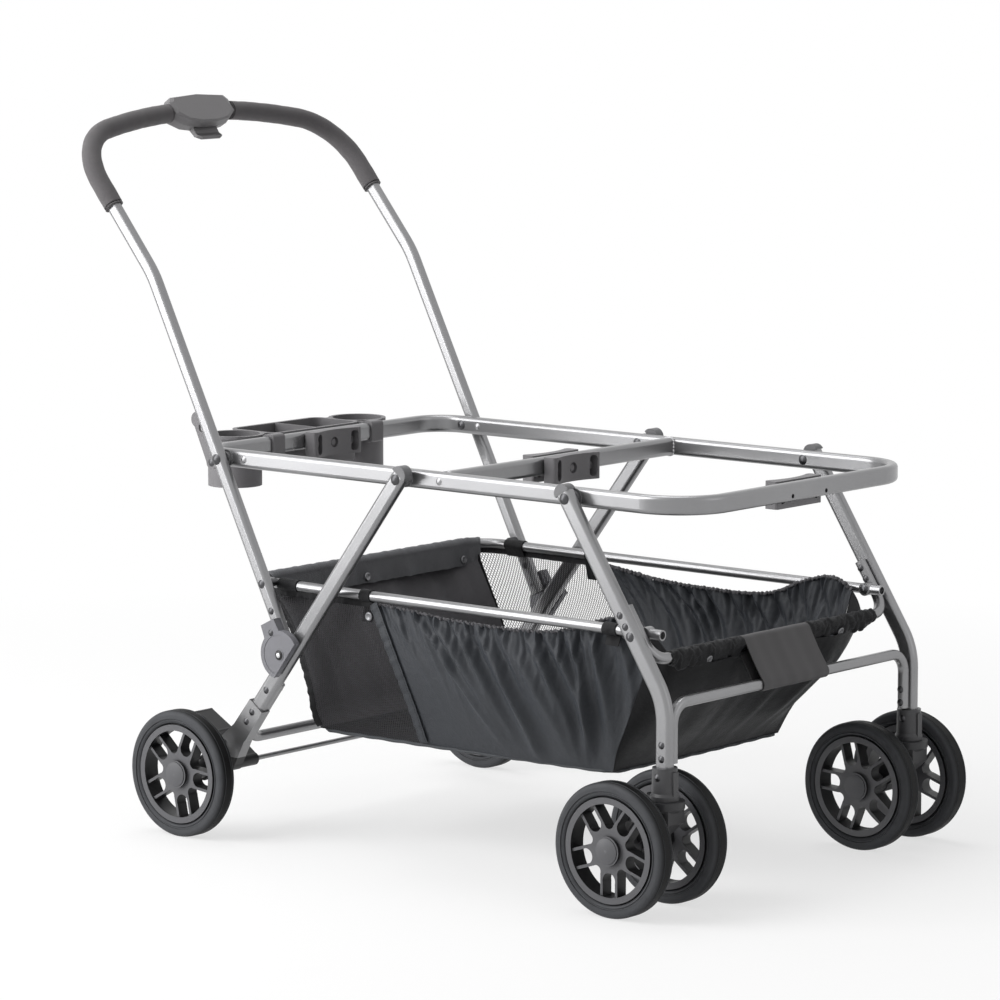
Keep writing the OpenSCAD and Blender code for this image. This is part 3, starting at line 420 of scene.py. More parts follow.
@dataclass(frozen=True)
class LatchCover:
    """Grey latch cover with a bright screw in a black ring of painted shadow."""

    name: str = "latch_cover"
    colour: Colour = (0.16, 0.16, 0.175)
    screw: Colour = (0.6, 0.6, 0.61)
    # Painted shadow: the black ring round the screw, and its outer radius.
    painted_screw_shadow: Colour = (0.012, 0.012, 0.013)
    centre: Pair = (0.12715, 0.26882)
    screw_r: float = 0.0034
    screw_shadow_r: float = 0.0069

    def material(self) -> bpy.types.Material:
        """Grained plastic, with the screw and its ring of painted shadow marked by
        their distance from the middle.

        Returns:
            The material.
        """
        g = Graph.named(self.name)
        _, y, z = g.split(g.place())
        away = ((y - self.centre[0]) ** 2 + (z - self.centre[1]) ** 2) ** 0.5
        screw = 1 - away.above(self.screw_r)
        # Mask of the painted shadow ring round the screw.
        ring = 1 - away.above(self.screw_shadow_r)
        grain, dust = g.noise(GRAIN_SCALE), g.dust(26.0)
        deep, pale = tint(self.colour, 0.85), tint(self.colour, 1.25)
        tone = g.mix(grain * 0.7 + dust * 0.3, deep, pale)
        return g.finish(
            Base_Color=g.mix(screw, g.mix(ring, tone, self.painted_screw_shadow), self.screw),
            Metallic=screw * 0.9,
            Roughness=0.45 + dust * 0.12 - screw * 0.18,
            Normal=g.bump(grain, 0.2),
            Specular_IOR_Level=0.42,
        )


@dataclass(frozen=True)
class MouldedPlastic:
    """Grained plastic with slightly rubbed high spots."""

    name: str
    colour: Colour
    roughness: float = 0.42

    def material(self) -> bpy.types.Material:
        """Fine grain, uneven gloss and a dusty tint.

        Returns:
            The material.
        """
        g = Graph.named(self.name)
        grain, dust = g.noise(GRAIN_SCALE), g.dust(26.0)
        pale = tuple(min(1.0, c * 1.45 + 0.01) for c in self.colour)
        tone = g.mix(grain, tint(self.colour, 0.82), pale)
        return g.finish(
            Base_Color=g.mix(dust * 0.3, tone, pale),
            Roughness=self.roughness + dust * 0.12 + (grain - 0.5) * 0.1,
            Normal=g.bump(grain, 0.25),
            Specular_IOR_Level=0.42,
        )


@dataclass(frozen=True)
class TyreRubber:
    """Black foam-rubber tyre with dusty patches."""

    name: str = "tyre_rubber"
    colour: Colour = (0.004, 0.004, 0.0044)
    # The side walls' colour is painted light, paler than the tread's.
    painted_lit_wall: Colour = (0.062, 0.064, 0.069)
    dusty: Colour = (0.034, 0.0335, 0.0345)

    def material(self) -> bpy.types.Material:
        """Fine pores and scuffs, paler on the side walls than on the tread, as painted
        light on the walls.

        Returns:
            The material.
        """
        g = Graph.named(self.name)
        side, _, _ = g.split(g.place("Normal"))
        # Share of the painted light, by how far the surface looks along the axle.
        painted_lit_wall = g.ramp(side.size(), 0.15, 0.8)
        pores = g.noise(1900.0)
        scuff = g.ramp(g.noise(60.0, 5.0), 0.45, 0.8)
        base = g.mix(painted_lit_wall, self.colour, self.painted_lit_wall)
        return g.finish(
            Base_Color=g.mix(scuff * 0.25, base, self.dusty),
            Roughness=0.5 + scuff * 0.2,
            Normal=g.bump(pores, 0.18),
            Specular_IOR_Level=0.14,
        )


@dataclass(frozen=True)
class GripFoam:
    """Closed-cell foam of the handle's sleeves."""

    name: str = "grip_foam"
    colour: Colour = (0.080, 0.075, 0.078)
    pale: Colour = (0.130, 0.124, 0.128)

    def material(self) -> bpy.types.Material:
        """Open pores over a soft mottled grey.

        Returns:
            The material.
        """
        g = Graph.named(self.name)
        cells = g.ramp(g.cells(900.0), 0.05, 0.6)
        mottle = g.noise(150.0, 4.0)
        return g.finish(
            Base_Color=g.mix(cells * 0.6 + mottle * 0.4, self.colour, self.pale),
            Roughness=0.86 + mottle * 0.1,
            Normal=g.bump(cells, 0.45, 0.0005),
            Specular_IOR_Level=0.22,
            Sheen_Weight=0.15,
        )


@dataclass(frozen=True)
class ZincSteel:
    """Plated steel of rivets, screws and axles."""

    name: str = "zinc_steel"
    colour: Colour = (0.42, 0.42, 0.43)

    def material(self) -> bpy.types.Material:
        """Cloudy plating with small marks.

        Returns:
            The material.
        """
        g = Graph.named(self.name)
        cloud = g.noise(240.0, 4.0)
        return g.finish(
            Base_Color=g.mix(cloud, tint(self.colour, 0.6), self.colour),
            Metallic=0.95,
            Roughness=0.28 + cloud * 0.22,
            Normal=g.bump(g.noise(GRAIN_SCALE), 0.12),
        )


@dataclass(frozen=True)
class WovenNylon:
    """Plain-woven bag cloth, read from the piece's UV map in metres."""

    name: str
    warp: Colour
    weft: Colour
    pitch: float = 0.0011
    crinkle: float = 0.35
    sheen: float = 0.05
    shine: float = 0.34
    roughness: float = 0.44
    stitch: float = 0.0
    stitch_at: tuple[float, ...] = ()
    stitch_half: float = 0.0007

    def stitches(self, g: Graph, along: Wire, across: Wire) -> Wire:
        """Mask of dashed sewing lines.

        Args:
            g: The material's nodes.
            along: Distance along the piece.
            across: Distance across the piece.

        Returns:
            One on a stitch, zero elsewhere.
        """
        dash = (along * (2 * math.pi / self.stitch)).sine().above(-0.35)
        first, *others = (
            1 - (across - line).size().above(self.stitch_half)
            for line in self.stitch_at
        )
        for row in others:
            first = first.larger(row)
        return first * dash

    def material(self) -> bpy.types.Material:
        """Crossed threads, soft crinkles and a cool sheen.

        Returns:
            The material.
        """
        g = Graph.named(self.name)
        flat = g.place("UV")
        u, v, _ = g.split(flat)
        turn = 2 * math.pi / self.pitch
        across = (u * turn).sine()
        along = (v * turn).sine()
        over = (across * along).above(0.0)
        thread = across.size() * over + along.size() * (1 - over)
        worn = g.noise(22.0, 4.0, flat)
        folds = g.noise(55.0, 3.0, flat, 0.6)
        tone = g.mix(over * 0.7 + worn * 0.3, self.warp, self.weft)
        lift = g.bump(folds, self.crinkle, 0.004)
        if self.stitch:
            sewn = self.stitches(g, u, v)
            tone = g.mix(sewn, tone, tint(self.warp, 0.35))
            lift = g.bump(1 - sewn, 0.5, 0.0006, lift)
        return g.finish(
            Base_Color=tone,
            Roughness=self.roughness + worn * 0.16,
            Normal=g.bump(thread, 0.35, under=lift),
            Sheen_Weight=self.sheen,
            Sheen_Roughness=0.4,
            Sheen_Tint=(0.62, 0.72, 0.85),
            Specular_IOR_Level=self.shine,
        )


@dataclass(frozen=True)
class NetCloth:
    """See-through knitted net, read from the piece's UV map in metres."""

    name: str = "net_cloth"
    colour: Colour = (0.016, 0.0155, 0.017)
    pitch: float = 0.0040
    slant: float = 0.6
    cover: float = 0.37

    def material(self) -> bpy.types.Material:
        """Slanting threads with open cells between them.

        Returns:
            The material.
        """
        g = Graph.named(self.name)
        u, v, _ = g.split(g.place("UV"))
        turn = math.pi / self.pitch
        first = ((u + v * self.slant) * turn).sine().size()
        second = ((u - v * self.slant) * turn).sine().size()
        threads = (1 - first).larger(1 - second)
        fuzz = g.noise(700.0)
        return g.finish(
            Base_Color=g.mix(fuzz, self.colour, tint(self.colour, 2.2)),
            Roughness=0.7 + fuzz * 0.2,
            Alpha=threads.above(1 - self.cover),
            Specular_IOR_Level=0.3,
        )


@dataclass(frozen=True)
class CoatedCloth:
    """Smooth grey coated cloth of the bare front panel."""

    name: str = "coated_cloth"
    colour: Colour = (0.05, 0.048, 0.05)

    def material(self) -> bpy.types.Material:
        """A fine pressed grain with faint creases.

        Returns:
            The material.
        """
        g = Graph.named(self.name)
        grain = g.cells(1300.0)
        crease = g.noise(35.0, 4.0)
        return g.finish(
            Base_Color=g.mix(crease, self.colour, tint(self.colour, 1.25)),
            Roughness=0.48 + crease * 0.16,
            Normal=g.bump(grain, 0.12, under=g.bump(crease, 0.15, 0.003)),
            Specular_IOR_Level=0.4,
        )


class Palette:
    """Every finish of the frame, each made once."""

    def __init__(self) -> None:
        """Make the materials."""
        self.paint = SatinPaint().material()
        self.weld = SatinPaint(
            "weld_bead", (0.66, 0.66, 0.67), (0.45, 0.45, 0.46), 0.28
        ).material()
        self.brake = TwoTone("brake_rod", 0, 0.2295).material()
        self.bracket = TwoTone("axle_bracket", 2, 0.112, past=False).material()
        self.latch = LatchCover().material()
        self.plastic, self.cap, self.console, self.socket, self.caster = (
            MouldedPlastic(*values).material()
            for values in (
                ("dark_plastic", (0.138, 0.134, 0.140), 0.5),
                ("cap_plastic", (0.135, 0.135, 0.14), 0.45),
                ("console_plastic", (0.14, 0.136, 0.14)),
                ("socket_plastic", (0.052, 0.052, 0.055)),
                ("caster_plastic", (0.022, 0.022, 0.024)),
            )
        )
        self.rim = RimPlastic().material()
        self.tyre = TyreRubber().material()
        self.foam = GripFoam().material()
        self.steel = ZincSteel().material()
        self.dark_steel = ZincSteel("dark_rivet", (0.10, 0.10, 0.105)).material()
        self.grey_steel = ZincSteel("grey_rivet", (0.24, 0.24, 0.25)).material()
        self.cloth = WovenNylon(
            "bag_cloth", (0.0215, 0.0235, 0.028), (0.037, 0.041, 0.048)
        ).material()
        self.flap = WovenNylon(
            "bag_flap",
            (0.100, 0.101, 0.108),
            (0.15, 0.152, 0.161),
            crinkle=0.3,
            sheen=0.1,
            shine=0.3,
        ).material()
        self.inside = WovenNylon(
            "bag_inside",
            (0.067, 0.065, 0.070),
            (0.10, 0.097, 0.104),
            sheen=0.06,
            shine=0.24,
        ).material()
        self.lining = WovenNylon(
            "bag_lining",
            (0.009, 0.009, 0.010),
            (0.014, 0.014, 0.015),
            sheen=0.02,
            shine=0.14,
        ).material()
        self.tape = WovenNylon(
            "seam_tape",
            (0.022, 0.0245, 0.029),
            (0.039, 0.043, 0.05),
            pitch=0.0018,
            stitch=0.0042,
            stitch_at=(0.0026, 0.0114),
        ).material()
        self.edging = WovenNylon(
            "edge_piping",
            (0.028, 0.031, 0.035),
            (0.05, 0.054, 0.06),
            pitch=0.0014,
            crinkle=0.2,
        ).material()
        self.net = NetCloth().material()
        self.panel = CoatedCloth().material()


class Bench:
    """Small mesh tools that work through Blender's operators."""

    @staticmethod
    def only(obj: bpy.types.Object) -> None:
        """Select one object and make it active.

        Args:
            obj: The object.
        """
        bpy.ops.object.select_all(action="DESELECT")
        obj.select_set(True)
        bpy.context.view_layer.objects.active = obj

    @staticmethod
    def apply(obj: bpy.types.Object, kind: str, **settings: Input) -> None:
        """Add one modifier, set it and apply it.

        Args:
            obj: The piece.
            kind: The modifier's type.
            settings: The modifier's attributes.
        """
        Bench.only(obj)
        made = obj.modifiers.new(kind.lower(), kind)
        for key, value in settings.items():
            setattr(made, key, value)
        bpy.ops.object.modifier_apply(modifier=made.name)

    @staticmethod
    def mount(
        obj: bpy.types.Object, material: bpy.types.Material, body: str, slot: str
    ) -> None:
        """Give a piece its finish, smooth shading and body.

        Args:
            obj: The piece.
            material: Its finish.
            body: The body that it rides on.
            slot: Not used.
        """
        obj.data.materials.clear()
        obj.data.materials.append(material)
        Bench.only(obj)
        bpy.ops.object.shade_smooth_by_angle(angle=SMOOTH_ANGLE)
        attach(obj, body)
        LOG.info("%s: %s on %s", obj.name, material.name, body)

    @staticmethod
    def sheet(
        name: str, points: np.ndarray, thickness: float = 0.0, closed: bool = False
    ) -> bpy.types.Object:
        """Lay a grid primitive on a net of points.

        Args:
            name: The piece's name.
            points: Rows by columns by 3, in metres.
            thickness: Cloth thickness, or 0 for a bare surface.
            closed: Whether the last column meets the first.

        Returns:
            The piece, with its UV map in metres.
        """
        rows, columns = points.shape[:2]
        bpy.ops.object.select_all(action="DESELECT")
        bpy.ops.mesh.primitive_grid_add(
            x_subdivisions=columns - 1, y_subdivisions=rows - 1, size=2
        )
        obj = bpy.context.object
        obj.name = name
        mesh = obj.data
        mesh.name = name
        flat = np.zeros(len(mesh.vertices) * 3)
        mesh.vertices.foreach_get("co", flat)
        flat = flat.reshape(-1, 3)
        column = np.rint((flat[:, 0] + 1) / 2 * (columns - 1)).astype(int)
        row = np.rint((flat[:, 1] + 1) / 2 * (rows - 1)).astype(int)
        mesh.vertices.foreach_set("co", points[row, column].ravel())
        across = np.linalg.norm(np.diff(points, axis=1), axis=2)
        along = np.linalg.norm(np.diff(points, axis=0), axis=2)
        u = np.concatenate([[0.0], np.cumsum(across.mean(axis=0))])
        v = np.concatenate([[0.0], np.cumsum(along.mean(axis=1))])
        corner = np.zeros(len(mesh.loops), dtype=int)
        mesh.loops.foreach_get("vertex_index", corner)
        uv = np.stack([u[column[corner]], v[row[corner]]], axis=1)
        mesh.uv_layers[0].data.foreach_set("uv", uv.ravel())
        mesh.update()
        if closed:
            Bench.apply(obj, "WELD", merge_threshold=WELD_GAP)
        if thickness > 0:
            Bench.apply(
                obj, "SOLIDIFY", thickness=thickness, offset=0.0, use_even_offset=True
            )
        return obj

    @staticmethod
    def wrap(name: str, points: np.ndarray, thickness: float) -> bpy.types.Object:
        """Close a net into a sleeve and thicken it inwards.

        Args:
            name: The piece's name.
            points: Rows by columns by 3.
            thickness: Cloth thickness.

        Returns:
            The piece.
        """
        piece = Bench.sheet(name, points, closed=True)
        Bench.apply(piece, "SOLIDIFY", thickness=thickness, offset=-1.0)
        return piece

    @staticmethod
    def declare(
        obj: bpy.types.Object, points: np.ndarray, held: str, *rests_on: str
    ) -> None:
        """Log the size of cloth that a piece's net of points measures.

        Args:
            obj: The piece.
            points: Rows by columns by 3.
            held: Not used.
            rests_on: Not used.
        """
        width, length, area = Bench.measure(points)
        flat = (round(width, 4), round(length, 4))
        area = round(min(area, flat[0] * flat[1]), 6)
        LOG.info("%s: %.3f x %.3f m of cloth", obj.name, *flat)

    @staticmethod
    def measure(points: np.ndarray) -> tuple[float, float, float]:
        """Width, length and area of a net of points, in metres.

        Args:
            points: Rows by columns by 3.

        Returns:
            The width, the length and the area.
        """
        across = np.diff(points, axis=1)
        along = np.diff(points, axis=0)
        width = np.linalg.norm(across, axis=2).sum(axis=1).max()
        length = np.linalg.norm(along, axis=2).sum(axis=0).max()
        first = np.linalg.norm(np.cross(across[:-1], along[:, :-1]), axis=2)
        second = np.linalg.norm(np.cross(across[1:], along[:, 1:]), axis=2)
        return float(width), float(length), float((first + second).sum() / 2)


@dataclass(frozen=True)
class SnapCap:
    """Cap of a snap fastener, with a raised rim and a dished middle."""

    radius: float = 0.0062
    height: float = 0.0016
    slope: float = 0.0016
    rise: float = 0.0007
    rim: float = 0.0012
    dish: float = -0.0006
    rounding: float = 0.0003

    def build(self, name: str, centre: Point, normal: Point) -> bpy.types.Object:
        """Model one cap.

        Args:
            name: The piece's name.
            centre: Middle of the cap's foot.
            normal: The way it faces.

        Returns:
            The piece.
        """
        bpy.ops.object.select_all(action="DESELECT")
        bpy.ops.mesh.primitive_cylinder_add(
            vertices=28, radius=self.radius, depth=self.height, end_fill_type="NGON"
        )
        piece = bpy.context.object
        piece.name = name
        bpy.ops.object.mode_set(mode="EDIT")
        bpy.ops.mesh.select_mode(type="FACE")
        bpy.ops.mesh.select_all(action="DESELECT")
        bpy.ops.object.mode_set(mode="OBJECT")
        for face in piece.data.polygons:
            face.select = face.normal.z > 0.9
        bpy.ops.object.mode_set(mode="EDIT")
        bpy.ops.mesh.inset(thickness=self.slope, depth=self.rise)
        bpy.ops.mesh.inset(thickness=self.rim, depth=self.dish)
        bpy.ops.object.mode_set(mode="OBJECT")
        turn = Vector(normal).to_track_quat("Z", "Y").to_matrix().to_4x4()
        piece.data.transform(Matrix.Translation(Vector(centre)) @ turn)
        Bench.apply(piece, "BEVEL", width=self.rounding, segments=2)
        return piece


class Curve:
    """Smooth line through a few points."""

    def __init__(self, *points: Point) -> None:
        """Keep the points, spaced by their distances.

        Args:
            points: Points that the line passes through.
        """
        self.points = np.array(points, float)
        steps = np.linalg.norm(np.diff(self.points, axis=0), axis=1)
        self.knots = np.concatenate([[0.0], np.cumsum(steps)]) / steps.sum()

    @classmethod
    def arch(cls, *points: Point) -> "Curve":
        """Line across the frame, from its left half with the middle point last.

        Args:
            points: Points of the left half.

        Returns:
            The whole line.
        """
        half = np.array(points, float)
        return cls(*half, *(half[-2::-1] * MIRROR))

    def at(self, t: np.ndarray) -> np.ndarray:
        """Points at shares of the length.

        Args:
            t: Shares from 0 to 1.

        Returns:
            One row of three numbers for each share.
        """
        slopes = np.gradient(self.points, self.knots, axis=0)
        i = np.searchsorted(self.knots, t, side="right") - 1
        i = np.clip(i, 0, len(self.knots) - 2)
        span = (self.knots[i + 1] - self.knots[i])[:, None]
        s = ((t - self.knots[i])[:, None]) / span
        a, b = self.points[i], self.points[i + 1]
        da, db = slopes[i] * span, slopes[i + 1] * span
        return (
            (2 * s**3 - 3 * s**2 + 1) * a
            + (s**3 - 2 * s**2 + s) * da
            + (3 * s**2 - 2 * s**3) * b
            + (s**3 - s**2) * db
        )

    def mirrored(self) -> "Curve":
        """The same line on the other side of the frame."""
        return Curve(*(self.points * MIRROR))


def patch(
    top: Curve, bottom: Curve, start: Curve, end: Curve, columns: int, rows: int
) -> np.ndarray:
    """Surface between four edge lines.

    Args:
        top: Edge at row 0, from start to end.
        bottom: Edge at the last row, from start to end.
        start: Edge at column 0, from top to bottom.
        end: Edge at the last column, from top to bottom.
        columns: Steps across.
        rows: Steps down.

    Returns:
        Rows by columns by 3.
    """
    u = np.linspace(0, 1, columns + 1)
    v = np.linspace(0, 1, rows + 1)
    t, b, s, e = top.at(u), bottom.at(u), start.at(v), end.at(v)
    u, v = u[None, :, None], v[:, None, None]
    ruled = (1 - v) * t[None] + v * b[None] + (1 - u) * s[:, None] + u * e[:, None]
    upper = (1 - u) * (1 - v) * t[0] + u * (1 - v) * t[-1]
    lower = (1 - u) * v * b[0] + u * v * b[-1]
    return ruled - (upper + lower)


def shares(net: np.ndarray) -> tuple[np.ndarray, np.ndarray]:
    """Shares across and down a net of points, from 0 to 1."""
    rows, columns = net.shape[:2]
    return np.linspace(0, 1, columns)[None, :], np.linspace(0, 1, rows)[:, None]


def hump(share: np.ndarray) -> np.ndarray:
    """Half a sine: zero at both ends and one in the middle."""
    return np.sin(math.pi * share)


def unit(vectors: np.ndarray) -> np.ndarray:
    """Vectors of length one."""
    length = np.linalg.norm(vectors, axis=-1, keepdims=True)
    return vectors / np.maximum(length, 1e-9)


def heading(path: np.ndarray) -> np.ndarray:
    """Unit directions along a path."""
    return unit(np.gradient(path, axis=0))


def normals(points: np.ndarray) -> np.ndarray:
    """Unit normals of a net of points."""
    return unit(np.cross(np.gradient(points, axis=1), np.gradient(points, axis=0)))


def ripple(seed: int, size: int, *waves: Pair) -> np.ndarray:
    """Repeatable wavy line built from sines.

    Args:
        seed: Start of the random draws.
        size: Number of samples.
        waves: Pairs of waves along the line and height.

    Returns:
        One number for each sample.
    """
    draw = np.random.default_rng(seed)
    t = np.linspace(0, 1, size)
    total = np.zeros(size)
    for count, height in waves:
        shift = draw.uniform(0, 2 * math.pi)
        drift = np.cumsum(draw.normal(0, 0.25, size)) / math.sqrt(size)
        total += height * np.sin(2 * math.pi * count * t + shift + drift)
    return total


def sweep(
    path: np.ndarray, radius: np.ndarray, sides: int, squash: Pair = (1.0, 1.0)
) -> np.ndarray:
    """Round net of points along a path.

    Args:
        path: Centre points.
        radius: Radius at each point, or per point and side.
        sides: Points round the path.
        squash: Scale along the two cross directions.

    Returns:
        One row for each path point, with the first column repeated at the end.
    """
    ahead = heading(path)
    up = np.zeros_like(path)
    steep = abs(ahead[0, 2]) >= 0.9
    guess = np.array([0.0, 1.0, 0.0] if steep else [0.0, 0.0, 1.0])
    for i, d in enumerate(ahead):
        guess = unit(guess - d * guess.dot(d))
        up[i] = guess
    other = np.cross(ahead, up)
    angle = np.linspace(0, 2 * math.pi, sides + 1)[None, :, None]
    r = radius[:, None] if radius.ndim == 1 else radius
    ring = np.cos(angle) * up[:, None] * squash[0]
    ring = ring + np.sin(angle) * other[:, None] * squash[1]
    return path[:, None] + ring * r[..., None]


@dataclass(frozen=True)
class FoldFamily:
    """Folds of one kind in a gathered side, as shares of its width and height."""

    count: int
    first: float
    step: float
    jitter: Pair
    slant: Pair
    reach: Pair
    width: Pair
    height: Pair
    top_share: float = 0.35
    grow_over: float = 0.16
    narrow: float = 0.75
    spread: float = 1.1
    valley: float = 0.55
    valley_at: float = 2.1

    def lift(
        self, draw: np.random.Generator, u: np.ndarray, v: np.ndarray
    ) -> list[np.ndarray]:
        """Height of each fold over the side, in metres.

        Args:
            draw: Source of the random draws.
            u: Shares across.
            v: Shares down.

        Returns:
            One net of heights for each fold.
        """
        grown = np.clip(v / self.grow_over, 0, 1)
        grow = self.top_share + (1 - self.top_share) * grown
        wide = self.narrow + self.spread * v
        made = []
        for number in range(self.count):
            centre = self.first + self.step * number + draw.uniform(*self.jitter)
            slant, reach, width, height = (
                draw.uniform(*span)
                for span in (self.slant, self.reach, self.width, self.height)
            )
            away = (u - centre - slant * v) / (width * wide)
            valley = self.valley * np.exp(-((away - self.valley_at) ** 2) / 1.6)
            ridge = np.exp(-(np.abs(away) ** 1.6)) - valley
            made.append(height * ridge * grow * np.exp(-((v / reach) ** 3)))
        return made


@dataclass
class BasketBag:
    """Cloth bag in the hoop: gathered sides, net corners, back, front and floor."""

    palette: Palette
    rail_x: float = 0.243
    rail_z: float = 0.3574
    tube_r: float = 0.007
    rear_y: float = 0.224
    floor_z: float = 0.1545
    strap_y: float = 0.010
    floor_rear: Pair = (-0.2040, 0.132)
    floor_seam: Pair = (-0.1990, -0.057)
    floor_front: Pair = (-0.1820, -0.3700)
    rear_mid_y: float = 0.138
    front_mid_y: float = -0.374
    floor_sag: float = 0.0035
    net_bulge: float = 0.006
    pucker: float = 0.0021
    belly: float = 0.009
    back_bulge: float = 0.006
    back_wave: float = 0.0022
    front_bulge: float = 0.010
    front_wave: float = 0.0024
    hem_r: float = 0.0020
    piping_r: float = 0.0024
    strap_gap: float = 0.0010
    strap_thick: float = 0.0011
    sleeve_gap: float = 0.0014
    hoop_corner: float = 0.048
    hoop_corner_x: float = 0.195
    hoop_turn: float = math.radians(44)
    body: str = "basket"
    folds: tuple[FoldFamily, ...] = (
        FoldFamily(
            count=11,
            first=0.16,
            step=0.078,
            jitter=(-0.022, 0.022),
            slant=(0.16, 0.34),
            reach=(0.6, 1.1),
            width=(0.014, 0.026),
            height=(0.0075, 0.0135),
        ),
        FoldFamily(
            count=11,
            first=0.05,
            step=0.09,
            jitter=(-0.02, 0.02),
            slant=(0.02, 0.22),
            reach=(0.3, 0.55),
            width=(0.008, 0.014),
            height=(0.0035, 0.0062),
        ),
        FoldFamily(
            count=24,
            first=0.0,
            step=0.0,
            jitter=(0.0, 1.0),
            slant=(-0.04, 0.2),
            reach=(0.12, 0.34),
            width=(0.006, 0.012),
            height=(0.0016, 0.0038),
        ),
    )

    def rear_edge(self) -> Curve:
        """Line where a side meets the back, from top to bottom, on the left.

        Returns:
            The line.
        """
        return Curve(
            (-0.2200, 0.2165, 0.3500),
            (-0.2115, 0.1805, 0.2950),
            (-0.2120, 0.1580, 0.2470),
            (-0.2100, 0.1450, 0.2042),
            (-0.2070, 0.1390, 0.1700),
            (*self.floor_rear, self.floor_z),
        )

    def front_edge(self) -> Curve:
        """Line where a side meets the front, from top to bottom, on the left.

        Returns:
            The line.
        """
        return Curve(
            (-0.2240, -0.4640, 0.3560),
            (-0.2160, -0.4480, 0.2980),
            (-0.2060, -0.4240, 0.2560),
            (-0.1970, -0.4020, 0.2160),
            (-0.1890, -0.3810, 0.1800),
            (*self.floor_front, self.floor_z - 0.0015),
        )

    def seam(self) -> Curve:
        """Slanting line between net and cloth, from top to bottom, on the left.

        Returns:
            The line.
        """
        return Curve(
            (-0.2415, -0.002, 0.3480),
            (-0.2445, -0.029, 0.3000),
            (-0.2370, -0.045, 0.2545),
            (-0.2190, -0.052, 0.2062),
            (*self.floor_seam, self.floor_z - 0.001),
        )

    def net_top(self, drop: float = 0.0) -> Curve:
        """Top of the net under the rail, from the back to the seam, on the left.

        Args:
            drop: How far it lies lower between its ends.

        Returns:
            The line.
        """
        return Curve(
            self.rear_edge().points[0],
            (-0.2375, 0.196, 0.3498 - drop),
            (-0.2425, 0.168, 0.3496 - drop),
            (-0.2425, 0.105, 0.3492 - drop),
            (-0.2425, 0.055, 0.3488 - drop),
            self.seam().points[0],
        )

    def side_net(self) -> np.ndarray:
        """Points of the net corner on the left.

        Returns:
            Rows by columns by 3.
        """
        rear, seam = self.rear_edge(), self.seam()
        middle = (-0.2010, 0.0, self.floor_z - 0.0015)
        bottom = Curve(rear.points[-1], middle, seam.points[-1])
        net = patch(self.net_top(), bottom, rear, seam, 40, 28)
        u, v = shares(net)
        net[..., 0] -= self.net_bulge * hump(u) * hump(v) ** 1.2
        return net

    def elastic_edge(self, dip: float) -> Curve:
        """Gathered top edge of the cloth side, from the strap forwards, on the left.

        Args:
            dip: How far the edge hangs lower in its middle.

        Returns:
            The edge line.
        """
        return Curve(
            self.seam().points[0],
            (-0.2425, -0.060, 0.3450 - 0.6 * dip),
            (-0.2435, -0.118, 0.3405 - 0.9 * dip),
            (-0.2440, -0.190, 0.3385 - dip),
            (-0.2440, -0.260, 0.3385 - dip),
            (-0.2415, -0.310, 0.3420 - 0.8 * dip),
            (-0.2375, -0.338, 0.3470 - 0.3 * dip),
            (-0.2330, -0.364, 0.3555),
            (-0.2310, -0.392, 0.3650),
            (-0.2295, -0.420, 0.3705),
            (-0.2265, -0.444, 0.3670),
            self.front_edge().points[0],
        )

    def side_cloth(self, seed: int, dip: float) -> np.ndarray:
        """Points of the gathered cloth side on the left.

        Args:
            seed: Start of the random draws for its folds.
            dip: How far its top edge hangs lower in the middle.

        Returns:
            Rows by columns by 3.
        """
        seam, front = self.seam(), self.front_edge()
        middle = (-0.1905, -0.24, self.floor_z - 0.0035)
        bottom = Curve(seam.points[-1], middle, front.points[-1])
        net = patch(self.elastic_edge(dip), bottom, seam, front, 260, 44)
        out = normals(net)
        out *= np.sign(-out[..., :1].mean())
        u, v = shares(net)
        inside = hump(u) ** 0.35
        puckers = ripple(seed, u.size, (38, 0.9), (53, 0.7), (23, 0.5))[None, :]
        lift = self.pucker * puckers * np.exp(-v / 0.12)
        draw = np.random.default_rng(seed + 1)
        for family in self.folds:
            for fold in family.lift(draw, u, v):
                lift = lift + fold * inside
        belly = self.belly * hump(v) ** 0.9 * hump(u)
        still = np.clip((1 - v) / 0.12, 0, 1)
        net += out * (lift * still + belly)[..., None]
        net[..., 2] += 0.0011 * puckers * np.exp(-v / 0.05)
        return net

    def back(self) -> np.ndarray:
        """Points of the back, from the rear bar's sleeve down to the floor.

        Returns:
            Rows by columns by 3.
        """
        rear = self.rear_edge()
        shoulder, crown = (-0.196, 0.2265, 0.3445), (0.0, 0.2290, 0.3440)
        top = Curve.arch(rear.points[0], shoulder, crown)
        middle = (0.0, self.rear_mid_y, self.floor_z - 0.001)
        bottom = Curve.arch(rear.points[-1], middle)
        net = patch(top, bottom, rear, rear.mirrored(), 90, 30)
        u, v = shares(net)
        waves = ripple(31, u.size, (5, 1.0), (9, 0.6), (14, 0.4))[None, :]
        net[..., 1] += (self.back_bulge * hump(u) + self.back_wave * waves) * hump(v)
        return net

    def front(self) -> np.ndarray:
        """Points of the front, from the upper front bar down to the floor.

        Returns:
            Rows by columns by 3.
        """
        left = self.front_edge()
        top = Curve.arch(
            left.points[0],
            (-0.2200, -0.4760, 0.3440),
            (-0.2110, -0.4880, 0.3260),
            (-0.1950, -0.4935, 0.3195),
            (0.0, -0.4940, 0.3185),
        )
        middle = (0.0, self.front_mid_y, self.floor_z - 0.002)
        bottom = Curve.arch(left.points[-1], middle)
        net = patch(top, bottom, left, left.mirrored(), 90, 32)
        u, v = shares(net)
        waves = ripple(53, u.size, (4, 1.0), (7, 0.7), (12, 0.4))[None, :]
        swell = self.front_bulge * hump(u) ** 0.7
        net[..., 1] -= (swell + self.front_wave * waves) * hump(v)
        return net

